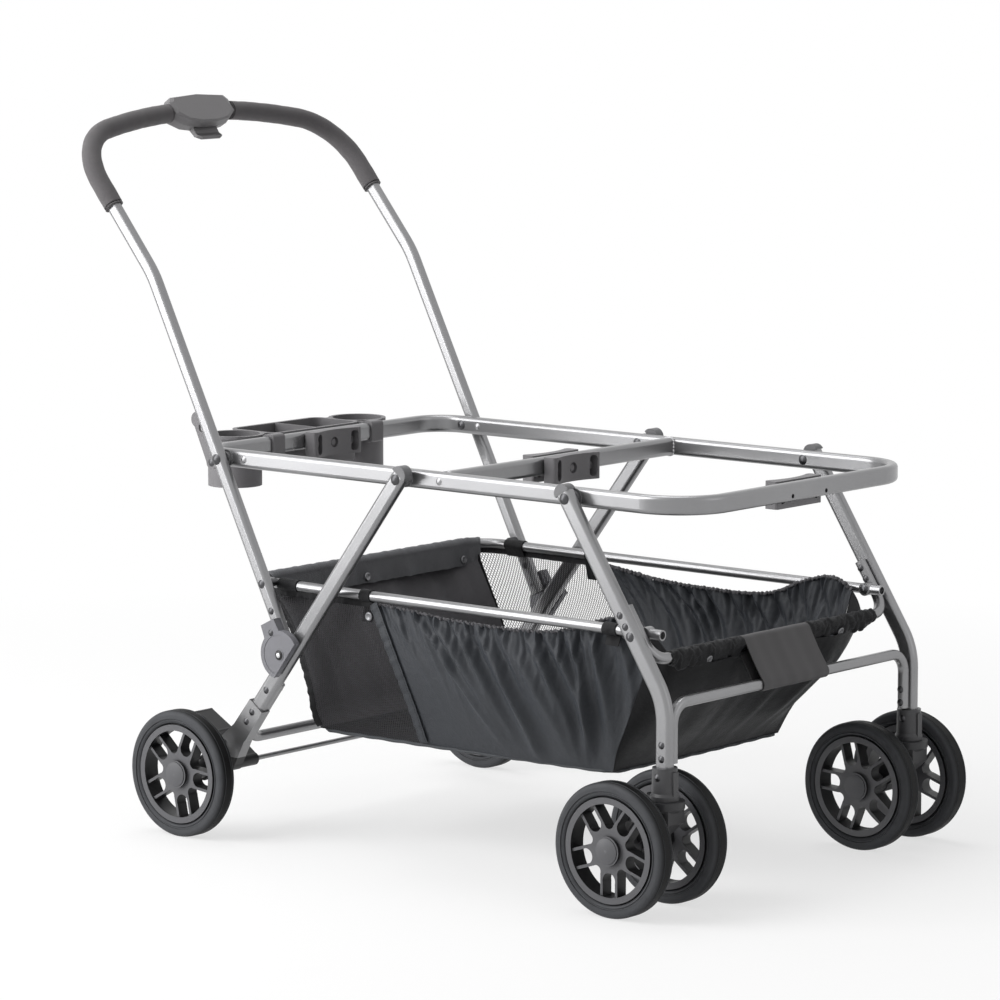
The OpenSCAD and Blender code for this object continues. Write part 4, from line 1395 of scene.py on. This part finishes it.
    def floor(self) -> np.ndarray:
        """Points of the floor, sagging a little between its edges.

        Returns:
            Rows by columns by 3.
        """
        low = self.floor_z - 0.0015
        corner, front = (*self.floor_rear, self.floor_z), (*self.floor_front, low)
        left = Curve(corner, (*self.floor_seam, low), front)
        net = patch(
            Curve.arch(corner, (0.0, self.rear_mid_y, self.floor_z - 0.001)),
            Curve.arch(front, (0.0, self.front_mid_y, low)),
            left,
            left.mirrored(),
            40,
            48,
        )
        u, v = shares(net)
        net[..., 2] -= self.floor_sag * hump(u) * hump(v)
        return net

    def keep(
        self,
        name: str,
        points: np.ndarray,
        material: bpy.types.Material,
        held: str,
        thick: float = CLOTH,
        flat: Optional[float] = BAG_FLAT,
    ) -> bpy.types.Object:
        """Turn points into a sheet of cloth and log its size.

        Args:
            name: The piece's name.
            points: Rows by columns by 3.
            material: Its finish.
            held: How the cloth is held.
            thick: Cloth thickness.
            flat: Share of its height for folding, which nothing here applies;
            none skips copying its mesh.

        Returns:
            The piece.
        """
        piece = Bench.sheet(name, points, thick)
        Bench.mount(piece, material, self.body, CLOTH_SLOT)
        Bench.declare(piece, points, held, "basket_hoop")
        if flat is not None:
            self.fold(piece, flat)
        return piece

    def fold(self, piece: bpy.types.Object, flat: float) -> None:
        """Give a piece its own copy of its mesh."""
        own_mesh(piece)

    def trim(self, piece: bpy.types.Object, material: bpy.types.Material) -> None:
        """Dress a small sewn-on piece on the bag's body and give it its own mesh."""
        Bench.mount(piece, material, self.body, CLOTH_SLOT)
        self.fold(piece, BAG_FLAT)

    def strip(
        self,
        name: str,
        line: Curve,
        width: float,
        lift: float,
        material: bpy.types.Material,
        sign: int,
    ) -> None:
        """Sew a tape along a line of a side.

        Args:
            name: The piece's name.
            line: The line it follows.
            width: The tape's width.
            lift: How far it stands outside the cloth.
            material: Its finish.
            sign: Side of the frame, -1 or 1.
        """
        count = 70
        path = line.at(np.linspace(0, 0.985, count))
        path[:, 0] -= lift
        across = unit(np.cross(heading(path), np.array([-1.0, 0.0, 0.0])))
        share = np.linspace(-0.5, 0.5, 7)[:, None]
        points = path[None] + across[None] * share[..., None] * width
        wave = ripple(17, count, (11, 1.0), (19, 0.8))[None, :]
        points[..., 0] -= 0.0006 * np.cos(math.pi * share)
        points[..., 0] -= 0.0005 * wave * (1 + share)
        points[..., 0] *= -sign
        self.keep(name, points, material, "stretched")

    def hem(self, name: str, sign: int, seed: int, dip: float) -> None:
        """Roll the gathered elastic edge of a side.

        Args:
            name: The piece's name.
            sign: Side of the frame, -1 or 1.
            seed: Start of the random draws.
            dip: How far the edge hangs lower in its middle.
        """
        count = 420
        path = self.elastic_edge(dip).at(np.linspace(0.004, 0.996, count))
        crimp = ripple(seed, count, (58, 1.0), (83, 0.6), (37, 0.5))
        path[:, 2] += 0.0006 * crimp
        path[:, 0] -= 0.0008 * np.roll(crimp, 3)
        radius = self.hem_r + 0.00035 * ripple(seed + 5, count, (64, 1.0), (91, 0.7))
        points = sweep(path, radius, 10, (1.3, 0.8))
        points[..., 0] *= -sign
        self.trim(Bench.sheet(name, points, closed=True), self.palette.inside)

    def loop(self, name: str, sign: int, y: float, width: float, drop: float) -> None:
        """Wrap a strap round the rail and sew its tail to the side.

        Args:
            name: The piece's name.
            sign: Side of the frame, -1 or 1.
            y: Middle of the strap along the rail.
            width: The strap's width.
            drop: Length of the tail below the rail.
        """
        turn = np.radians(np.linspace(-100, 190, 30))
        r = self.tube_r + self.strap_gap
        x = np.concatenate(
            [
                -self.rail_x - r * np.cos(turn),
                np.linspace(-self.rail_x + r * 0.98, -self.rail_x - 0.0007, 12)[1:],
            ]
        )
        z = np.concatenate([r * np.sin(turn), np.linspace(-0.002, -drop, 12)[1:]])
        share = np.linspace(-0.5, 0.5, 9)[:, None]
        curl = 0.0006 * np.sin(np.linspace(0, 9, len(x)))[None, :]
        points = np.zeros((len(share), len(x), 3))
        points[..., 0] = (x[None, :] - curl * np.sign(share)) * -sign
        points[..., 1] = y + share * width
        points[..., 2] = self.rail_z + z[None, :]
        finish = self.palette.lining
        self.keep(name, points, finish, "folded", self.strap_thick, None)

    def rear_sleeve(self) -> None:
        """Lay the back's hem over the hoop's rear bar, with its inner flap."""
        angle = np.linspace(self.hoop_turn, 0, 26)
        arc_x = -self.hoop_corner_x - self.hoop_corner * np.sin(angle)
        arc_y = self.rear_y - self.hoop_corner * (1 - np.cos(angle))
        bar = np.linspace(-0.19, 0.0, 70)
        half_x = np.concatenate([arc_x, bar])
        half_y = np.concatenate([arc_y, np.full(len(bar), self.rear_y)])
        half = np.stack([half_x, half_y], axis=1)
        plan = np.concatenate([half, (half * np.array([-1.0, 1.0]))[::-1][1:]])
        ahead = heading(plan)
        outward = np.stack([-ahead[:, 1], ahead[:, 0]], axis=1)
        r = self.tube_r + self.sleeve_gap
        over = np.linspace(math.pi, -0.35, 22)
        flap = [np.linspace(-0.0125, -r, 14), np.linspace(-0.030, -0.0008, 14)]
        tail = [[0.0074, 0.0066, 0.0060], [-0.0075, -0.0120, -0.0165]]
        out = np.concatenate([flap[0], r * np.cos(over), tail[0]])
        rise = np.concatenate([flap[1], r * np.sin(over), tail[1]])
        count = len(plan)
        wave = ripple(71, count, (7, 1.0), (13, 0.7), (22, 0.4))[:, None]
        droop = np.clip((-rise - 0.006) / 0.024, 0, 1) * (out < 0)
        shift = out[None] + 0.0011 * wave * droop[None]
        points = np.zeros((count, len(out), 3))
        points[..., :2] = plan[:, None] + outward[:, None] * shift[..., None]
        points[..., 2] = self.rail_z + rise[None]
        points[..., 2] += 0.0003 * ripple(73, count, (19, 1.0), (33, 0.7))[:, None]
        self.keep("bag_rear_sleeve", points, self.palette.flap, "folded", flat=None)

    def piping(self) -> None:
        """Run a rolled edge round the bag's bottom."""
        low = self.floor_z - 0.0025
        spots = (self.floor_rear, self.floor_seam, self.floor_front)
        rear, seam, front = ((*spot, low) for spot in spots)
        lines = (
            (Curve(rear, seam, front), 80),
            (Curve.arch(front, (0.0, self.front_mid_y, low)), 60),
            (Curve.arch(rear, (0.0, self.rear_mid_y, low)), 60),
        )
        left, ahead, behind = (
            line.at(np.linspace(0.03, 0.97, count)) for line, count in lines
        )
        right = (left * MIRROR)[::-1]
        path = np.concatenate([left, ahead, right, behind[::-1], left[:1]])
        path[:, 2] += 0.0004 * np.sin(np.arange(len(path)) * 0.9)
        points = sweep(path, np.full(len(path), self.piping_r), 8)
        self.trim(Bench.sheet("bag_piping", points, closed=True), self.palette.edging)

    def snap(self, name: str, centre: Point, normal: Point) -> None:
        """Press a snap fastener's cap onto the cloth.

        Args:
            name: The piece's name.
            centre: Middle of the cap's foot.
            normal: The way it faces.
        """
        self.trim(SnapCap().build(name, centre, normal), self.palette.grey_steel)

    def side(self, side: Side) -> None:
        """Make one side's net, cloth, tapes, hem, straps and snaps.

        Args:
            side: Side of the frame.
        """
        look, sign, label = self.palette, side.value, side.label
        mirror = np.array([-sign, 1.0, 1.0])
        seed, dip = (11, 0.0) if side is Side.LEFT else (23, 0.0085)
        net, cloth = self.side_net() * mirror, self.side_cloth(seed, dip) * mirror
        self.keep(f"bag_net_{label}", net, look.net, "stretched", 0.0)
        self.keep(f"bag_side_{label}", cloth, look.cloth, "gathered")
        for name, line, width, lift, finish in (
            ("seam", self.seam(), 0.014, 0.0034, look.tape),
            ("binding", self.net_top(0.001), 0.012, 0.0012, look.lining),
            ("corner_tape", self.rear_edge(), 0.0105, 0.0008, look.lining),
        ):
            self.strip(f"bag_{name}_{label}", line, width, lift, finish, sign)
        self.hem(f"bag_hem_{label}", sign, seed + 30, dip)
        for name, y, width, drop in (
            ("rear", 0.153, 0.034, 0.016),
            ("middle", self.strap_y, 0.018, 0.036),
            ("front", -0.416, 0.022, 0.022),
        ):
            self.loop(f"bag_loop_{name}_{label}", sign, y, width, drop)
        spot = (sign * 0.2452, self.strap_y - 0.004, 0.3292)
        self.snap(f"bag_snap_middle_{label}", spot, (sign, 0, 0))
        spot = (sign * 0.2325, -0.4295, 0.3500)
        self.snap(f"bag_snap_front_{label}", spot, (-sign, 0, 0))

    def build(self) -> None:
        """Make every piece of the bag."""
        look = self.palette
        back = self.keep("bag_back", self.back(), look.inside, "hung")
        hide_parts("basket_bag")
        self.keep("bag_front", self.front(), look.lining, "hung", flat=FRONT_FLAT)
        self.keep("bag_floor", self.floor(), look.lining, "stretched")
        for side in Side:
            self.side(side)
        self.rear_sleeve()
        self.piping()
        for number, x in enumerate((-0.1935, -0.018, 0.1935), 1):
            self.snap(f"bag_snap_back_{number}", (x, 0.2112, 0.3366), (0, -1, 0.1))


@dataclass
class FrontBarSleeve:
    """Wrinkled cloth sleeve over the upper front bar, on both sides of the panel."""

    palette: Palette
    bar_y: float = -0.49536
    bar_z: float = 0.32549
    inner: float = 0.0725
    outer: float = 0.226
    radius: float = 0.0092
    hang: float = 0.0085
    wrinkle: float = 0.0009
    pleat: float = 0.0004
    snap_x: float = 0.146
    steps: int = 90
    sides: int = 36
    body: str = "front_legs"

    def radii(self, seed: int) -> np.ndarray:
        """Radius at each step and side, with twists and a seam that hangs down.

        Args:
            seed: Start of the random draws.

        Returns:
            Steps by sides, with the first side repeated at the end.
        """
        share = np.linspace(0, 1, self.steps)[:, None]
        ends = 1 - 0.1 * np.exp(-(1 - share) / 0.03)
        drawn = np.clip(np.minimum(share / 0.05, (1 - share) / 0.12), 0.0, 1.0)
        twist = ripple(seed, self.steps, (4, 1.0), (7, 0.8), (11, 0.5))[:, None]
        turn = np.arange(self.sides + 1) % self.sides * (2 * math.pi / self.sides)
        low = np.maximum(0.0, np.cos(turn - math.pi)) ** 7
        wrinkle = self.wrinkle * np.sin(twist * 1.6 + turn * 2)
        pleat = self.pleat * np.sin(7 * turn + 40 * share)
        seam = (self.hang + 0.0012 * twist) * low * drawn
        return (self.radius + wrinkle + pleat + seam) * ends

    def build(self) -> None:
        """Make the two lengths and their snaps."""
        for side, seed in ((Side.LEFT, 101), (Side.RIGHT, 113)):
            x = np.linspace(self.inner, self.outer, self.steps) * side.value
            y, z = np.full_like(x, self.bar_y), np.full_like(x, self.bar_z)
            path = np.column_stack([x, y, z])
            points = sweep(path, self.radii(seed), self.sides)
            piece = Bench.wrap(f"front_bar_sleeve_{side.label}", points, CLOTH)
            Bench.mount(piece, self.palette.lining, self.body, CLOTH_SLOT)
            Bench.declare(piece, points, "gathered", "upper_front_bar")
            spot = (side.value * self.snap_x, self.bar_y - 0.0054, self.bar_z - 0.0122)
            name = f"front_snap_{side.label}"
            cap = SnapCap().build(name, spot, (0, -0.92, -0.4))
            Bench.mount(cap, self.palette.grey_steel, self.body, CLOTH_SLOT)


@dataclass
class FrontPanel:
    """Bare coated-cloth panel stretched round both front bars."""

    palette: Palette
    upper: Pair = (-0.49536, 0.32549)
    lower: Pair = (-0.527, 0.273)
    half: float = 0.072
    radius: float = 0.0092
    thick: float = 0.0015
    pull: float = 0.0011
    dent: float = 0.0004
    body: str = "front_legs"

    def outline(self) -> np.ndarray:
        """Closed side outline round the two bars.

        Returns:
            One row of y and z for each point.
        """
        a, b = np.array(self.upper), np.array(self.lower)
        along = unit(b - a)
        across = np.array([along[1], -along[0]])
        turn = np.linspace(0, math.pi, 15)[:, None]
        bend = self.radius * (np.cos(turn) * across + np.sin(turn) * along)
        low, high = b + bend, a - bend
        steps = np.linspace(0, 1, 14)[1:-1, None]
        pull = across * self.pull * hump(steps)
        down = high[-1] + (low[0] - high[-1]) * steps - pull
        up = low[-1] + (high[0] - low[-1]) * steps + pull
        return np.concatenate([low, up, high, down, low[:1]])

    def build(self) -> None:
        """Make the wrap."""
        ring = self.outline()
        columns = 61
        dent = self.dent * ripple(131, columns, (2, 1.0), (5, 0.6))
        points = np.zeros((columns, len(ring), 3))
        points[..., 0] = np.linspace(-self.half, self.half, columns)[:, None]
        points[..., 1:] = ring[None]
        points[..., 1] += dent[:, None]
        piece = Bench.wrap("front_panel_wrap", points, self.thick)
        Bench.mount(piece, self.palette.panel, self.body, "panel_cloth")
        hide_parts("front_panel")
        Bench.declare(piece, points, "stretched", "upper_front_bar", "lower_front_bar")


@dataclass
class FoamGrips:
    """Foam sleeves on the handle, rounded at their ends."""

    palette: Palette
    kink: Pair = (0.38236, 0.77625)
    rise: float = math.radians(50.5)
    leg_x: float = 0.272
    corner: float = 0.093
    corner_at: float = 0.160
    bow: float = math.radians(13.1)
    start: float = 0.118
    console: float = 0.063
    radius: float = 0.0139
    inner: float = 0.0078
    lip: float = 0.0028
    lip_steps: int = 6
    lump: float = 0.00012
    sides: int = 32
    body: str = "handle"

    def path(self) -> np.ndarray:
        """Centre line of the right sleeve, in the handle's raised upper plane.

        Returns:
            One row of three numbers for each point.
        """
        sine, cosine = math.sin(self.bow), math.cos(self.bow)
        big = (self.leg_x - self.corner * (1 - sine)) / sine
        middle = self.corner_at + (self.corner - big) * cosine
        straight = np.linspace(self.start, self.corner_at, 14)
        turn = np.linspace(0, math.pi / 2 - self.bow, 40)[1:]
        arch = np.linspace(self.bow, math.asin(self.console / big), 50)[1:]
        x = np.concatenate(
            [
                np.full(len(straight), self.leg_x),
                self.leg_x - self.corner + self.corner * np.cos(turn),
                big * np.sin(arch),
            ]
        )
        far = np.concatenate(
            [
                straight,
                self.corner_at + self.corner * np.sin(turn),
                middle + big * np.cos(arch),
            ]
        )
        y = self.kink[0] + far * math.cos(self.rise)
        z = self.kink[1] + far * math.sin(self.rise)
        return np.column_stack([x, y, z])

    def net(self) -> np.ndarray:
        """Points of the right sleeve, with a lip and a face at each end.

        Returns:
            Rows by columns by 3.
        """
        path = self.path()
        ahead = heading(path)
        steps = np.linspace(0, math.pi / 2, self.lip_steps)[:, None]
        back_off = self.lip * (1 - np.sin(steps))
        start = path[0] + ahead[0] * back_off
        finish = path[-1] - ahead[-1] * back_off
        rims = self.radius - self.lip * (1 - np.sin(steps[:, 0]))
        first_end, last_end = [start[-1:], start[::-1]], [finish, finish[-1:]]
        line = np.concatenate([*first_end, path[1:-1], *last_end])
        face = [self.inner]
        tube = np.full(len(path) - 2, self.radius)
        radius = np.concatenate([face, rims[::-1], tube, rims, face])
        lump = self.lump * ripple(151, len(line), (7, 1.0), (15, 0.7))
        return self.ring(line, radius + lump)

    def ring(self, line: np.ndarray, radius: np.ndarray) -> np.ndarray:
        """Round net along a line whose ends fold back on themselves.

        Args:
            line: Centre points.
            radius: Radius at each point.

        Returns:
            Rows by columns by 3.
        """
        end = self.lip_steps + 1
        run = heading(line[end:-end])
        ahead = np.concatenate([run[:1].repeat(end, 0), run, run[-1:].repeat(end, 0)])
        up = np.array([0.0, -math.sin(self.rise), math.cos(self.rise)])
        other = unit(np.cross(ahead, up))
        angle = np.linspace(0, 2 * math.pi, self.sides + 1)[None, :, None]
        ring = np.cos(angle) * up + np.sin(angle) * other[:, None]
        return line[:, None] + ring * radius[:, None, None]

    def build(self) -> None:
        """Make both sleeves."""
        net = self.net()
        for side in Side:
            points = net * np.array([side.value, 1.0, 1.0])
            piece = Bench.sheet(f"foam_grip_{side.label}", points, closed=True)
            Bench.only(piece)
            bpy.ops.object.mode_set(mode="EDIT")
            bpy.ops.mesh.select_all(action="SELECT")
            bpy.ops.mesh.normals_make_consistent(inside=False)
            bpy.ops.object.mode_set(mode="OBJECT")
            Bench.mount(piece, self.palette.foam, self.body, "foam")
            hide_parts(f"grip_{side.label}")


@dataclass
class WeldBeads:
    """Rippled weld beads where the middle bar meets the rails."""

    palette: Palette
    bar_y: float = -0.131
    bar_z: float = 0.527
    width: float = 0.016
    height: float = 0.025
    corner: float = 0.006
    bead_x: float = 0.2404
    bead_r: float = 0.0016
    swell: float = 0.0003
    swells: int = 26
    body: str = "seat_frame"

    def build(self) -> None:
        """Make one bead on each side."""
        turn = np.linspace(0, 2 * math.pi, 160)
        y, z = (
            (size / 2 - self.corner) * np.clip(wave * 2.2, -1, 1) + self.corner * wave
            for size, wave in ((self.width, np.cos(turn)), (self.height, np.sin(turn)))
        )
        radius = self.bead_r + self.swell * np.sin(turn * self.swells)
        for side in Side:
            x = np.full_like(turn, side.value * self.bead_x)
            path = np.column_stack([x, self.bar_y + y, self.bar_z + z])
            points = sweep(path, radius, 8)
            piece = Bench.sheet(f"weld_bead_{side.label}", points, closed=True)
            Bench.mount(piece, self.palette.weld, self.body, "tube_paint")


class CadDresser:
    """Gives each shown CAD node its finish."""

    def __init__(self, palette: Palette, nodes: dict[str, bpy.types.Object]) -> None:
        """Keep the nodes, and the finishes by the words in a node's name.

        Args:
            palette: Every finish.
            nodes: CAD nodes by name.
        """
        self.nodes = nodes
        self.other = palette.plastic
        self.rules = (
            (("lock_bracket",), palette.latch),
            (("caps", "spacers"), palette.cap),
            (("tyre",), palette.tyre),
            (("_rim_",), palette.rim),
            (("caster_socket",), palette.socket),
            (("axle_bracket",), palette.bracket),
            (("caster_fork",), palette.caster),
            (
                ("rear_rivets", "front_rivets", "handle_rivets", "pivot_rivets"),
                palette.dark_steel,
            ),
            (("rivets", "screws", "axles", "pins"), palette.steel),
            (("console", "release_lever"), palette.console),
            (("brake_bar",), palette.brake),
            (("rail", "_bar", "crossbar", "_tube", "_leg_", "hoop"), palette.paint),
        )

    def finish_for(self, name: str) -> bpy.types.Material:
        """Pick a node's finish by the first rule with a word in its name.

        Args:
            name: The node's name.

        Returns:
            The finish.
        """
        for words, finish in self.rules:
            if any(word in name for word in words):
                return finish
        return self.other

    def build(self) -> None:
        """Dress every node."""
        for name, obj in self.nodes.items():
            finish = self.finish_for(name)
            obj.data.materials.clear()
            obj.data.materials.append(finish)
            LOG.info("%s: %s", name, finish.name)


@dataclass(frozen=True)
class Lamp:
    """Square soft lamp that faces the frame's middle."""

    name: str
    place: Point
    size: float
    power: float
    target: Point = (0.0, 0.0, 0.45)

    def build(self) -> None:
        """Hang the lamp."""
        data = bpy.data.lights.new(self.name, "AREA")
        data.size = self.size
        data.energy = self.power
        obj = bpy.data.objects.new(self.name, data)
        bpy.context.scene.collection.objects.link(obj)
        look = Vector(self.target) - Vector(self.place)
        obj.rotation_euler = look.to_track_quat("-Z", "Y").to_euler()
        obj.location = self.place


@dataclass
class Studio:
    """Camera, pale floor and soft light."""

    place: Point = (-4.8108, -4.0763, 1.3321)
    back: Point = (-0.7574, -0.6385, 0.1364)
    lens: float = 164.2
    sensor: float = 36.0
    reach: float = 100.0
    world_light: float = 0.3
    floor_size: float = 60.0
    floor_tone: Colour = (0.94, 0.94, 0.94)
    fade_from: float = 0.8
    fade_to: float = 2.2
    fade_share: float = 0.66
    lamps: tuple[Lamp, ...] = (
        Lamp("key", (-3.0, 1.9, 2.9), 2.8, 135),
        Lamp("panel", (-3.3, 2.7, 0.88), 1.7, 60),
        Lamp("fill", (1.0, -4.0, 1.8), 2.4, 10),
        Lamp("top", (0.6, 1.0, 4.2), 2.4, 60),
    )

    def camera(self) -> None:
        """Stand the camera where the photograph was taken from."""
        back = Vector(self.back).normalized()
        right = Vector((0, 0, 1)).cross(back).normalized()
        up = back.cross(right)
        turn = Matrix((right, up, back)).transposed().to_4x4()
        data = bpy.data.cameras.new("camera")
        data.lens = self.lens
        data.sensor_width = self.sensor
        data.clip_end = self.reach
        obj = bpy.data.objects.new("camera", data)
        bpy.context.scene.collection.objects.link(obj)
        obj.matrix_world = Matrix.Translation(self.place) @ turn
        bpy.context.scene.camera = obj

    def world(self) -> None:
        """White to the eye, softer as a light."""
        world = bpy.data.worlds.new("world")
        bpy.context.scene.world = world
        g = Graph(world)
        soft = g.tree.nodes["Background"]
        g.plug(soft.inputs["Color"], WHITE)
        g.plug(soft.inputs["Strength"], self.world_light)
        bright = g.node("Background", inputs={"Color": WHITE, "Strength": 1.0})
        g.blend("World Output", g.seen(), Wire(g, soft.outputs[0]), bright)

    def floor(self) -> None:
        """Pale floor that keeps the contact shadow and fades to white."""
        bpy.ops.object.select_all(action="DESELECT")
        bpy.ops.mesh.primitive_plane_add(size=self.floor_size)
        floor = bpy.context.object
        floor.name = "floor"
        g = Graph.named("floor")
        material = g.finish(Base_Color=self.floor_tone, Roughness=0.9)
        floor.data.materials.append(material)
        matt = Wire(g, g.tree.nodes["Principled BSDF"].outputs[0])
        glow = g.node("Emission", inputs={"Strength": 1.0})
        away = g.node("VectorMath", {"operation": "LENGTH"}, {0: g.place()}, "Value")
        near = {"From Min": self.fade_from, "To Min": self.fade_share}
        far = {"From Max": self.fade_to, "To Max": 1.0}
        fade = g.node("MapRange", inputs={"Value": away, **near, **far})
        g.blend("Material Output", g.seen() * fade, matt, glow)

    def build(self) -> None:
        """Set up the whole studio."""
        bpy.context.scene.view_settings.view_transform = "Standard"
        self.camera()
        self.world()
        self.floor()
        for lamp in self.lamps:
            lamp.build()
        LOG.info("studio made")


def main() -> None:
    """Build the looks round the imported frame, piece by piece."""
    logging.basicConfig(level=logging.INFO, format="%(message)s")
    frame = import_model()
    Studio().build()
    palette = Palette()
    CadDresser(palette, frame["nodes"]).build()
    for maker in (BasketBag, FrontBarSleeve, FrontPanel, FoamGrips, WeldBeads):
        maker(palette).build()


if __name__ == "__main__":
    main()
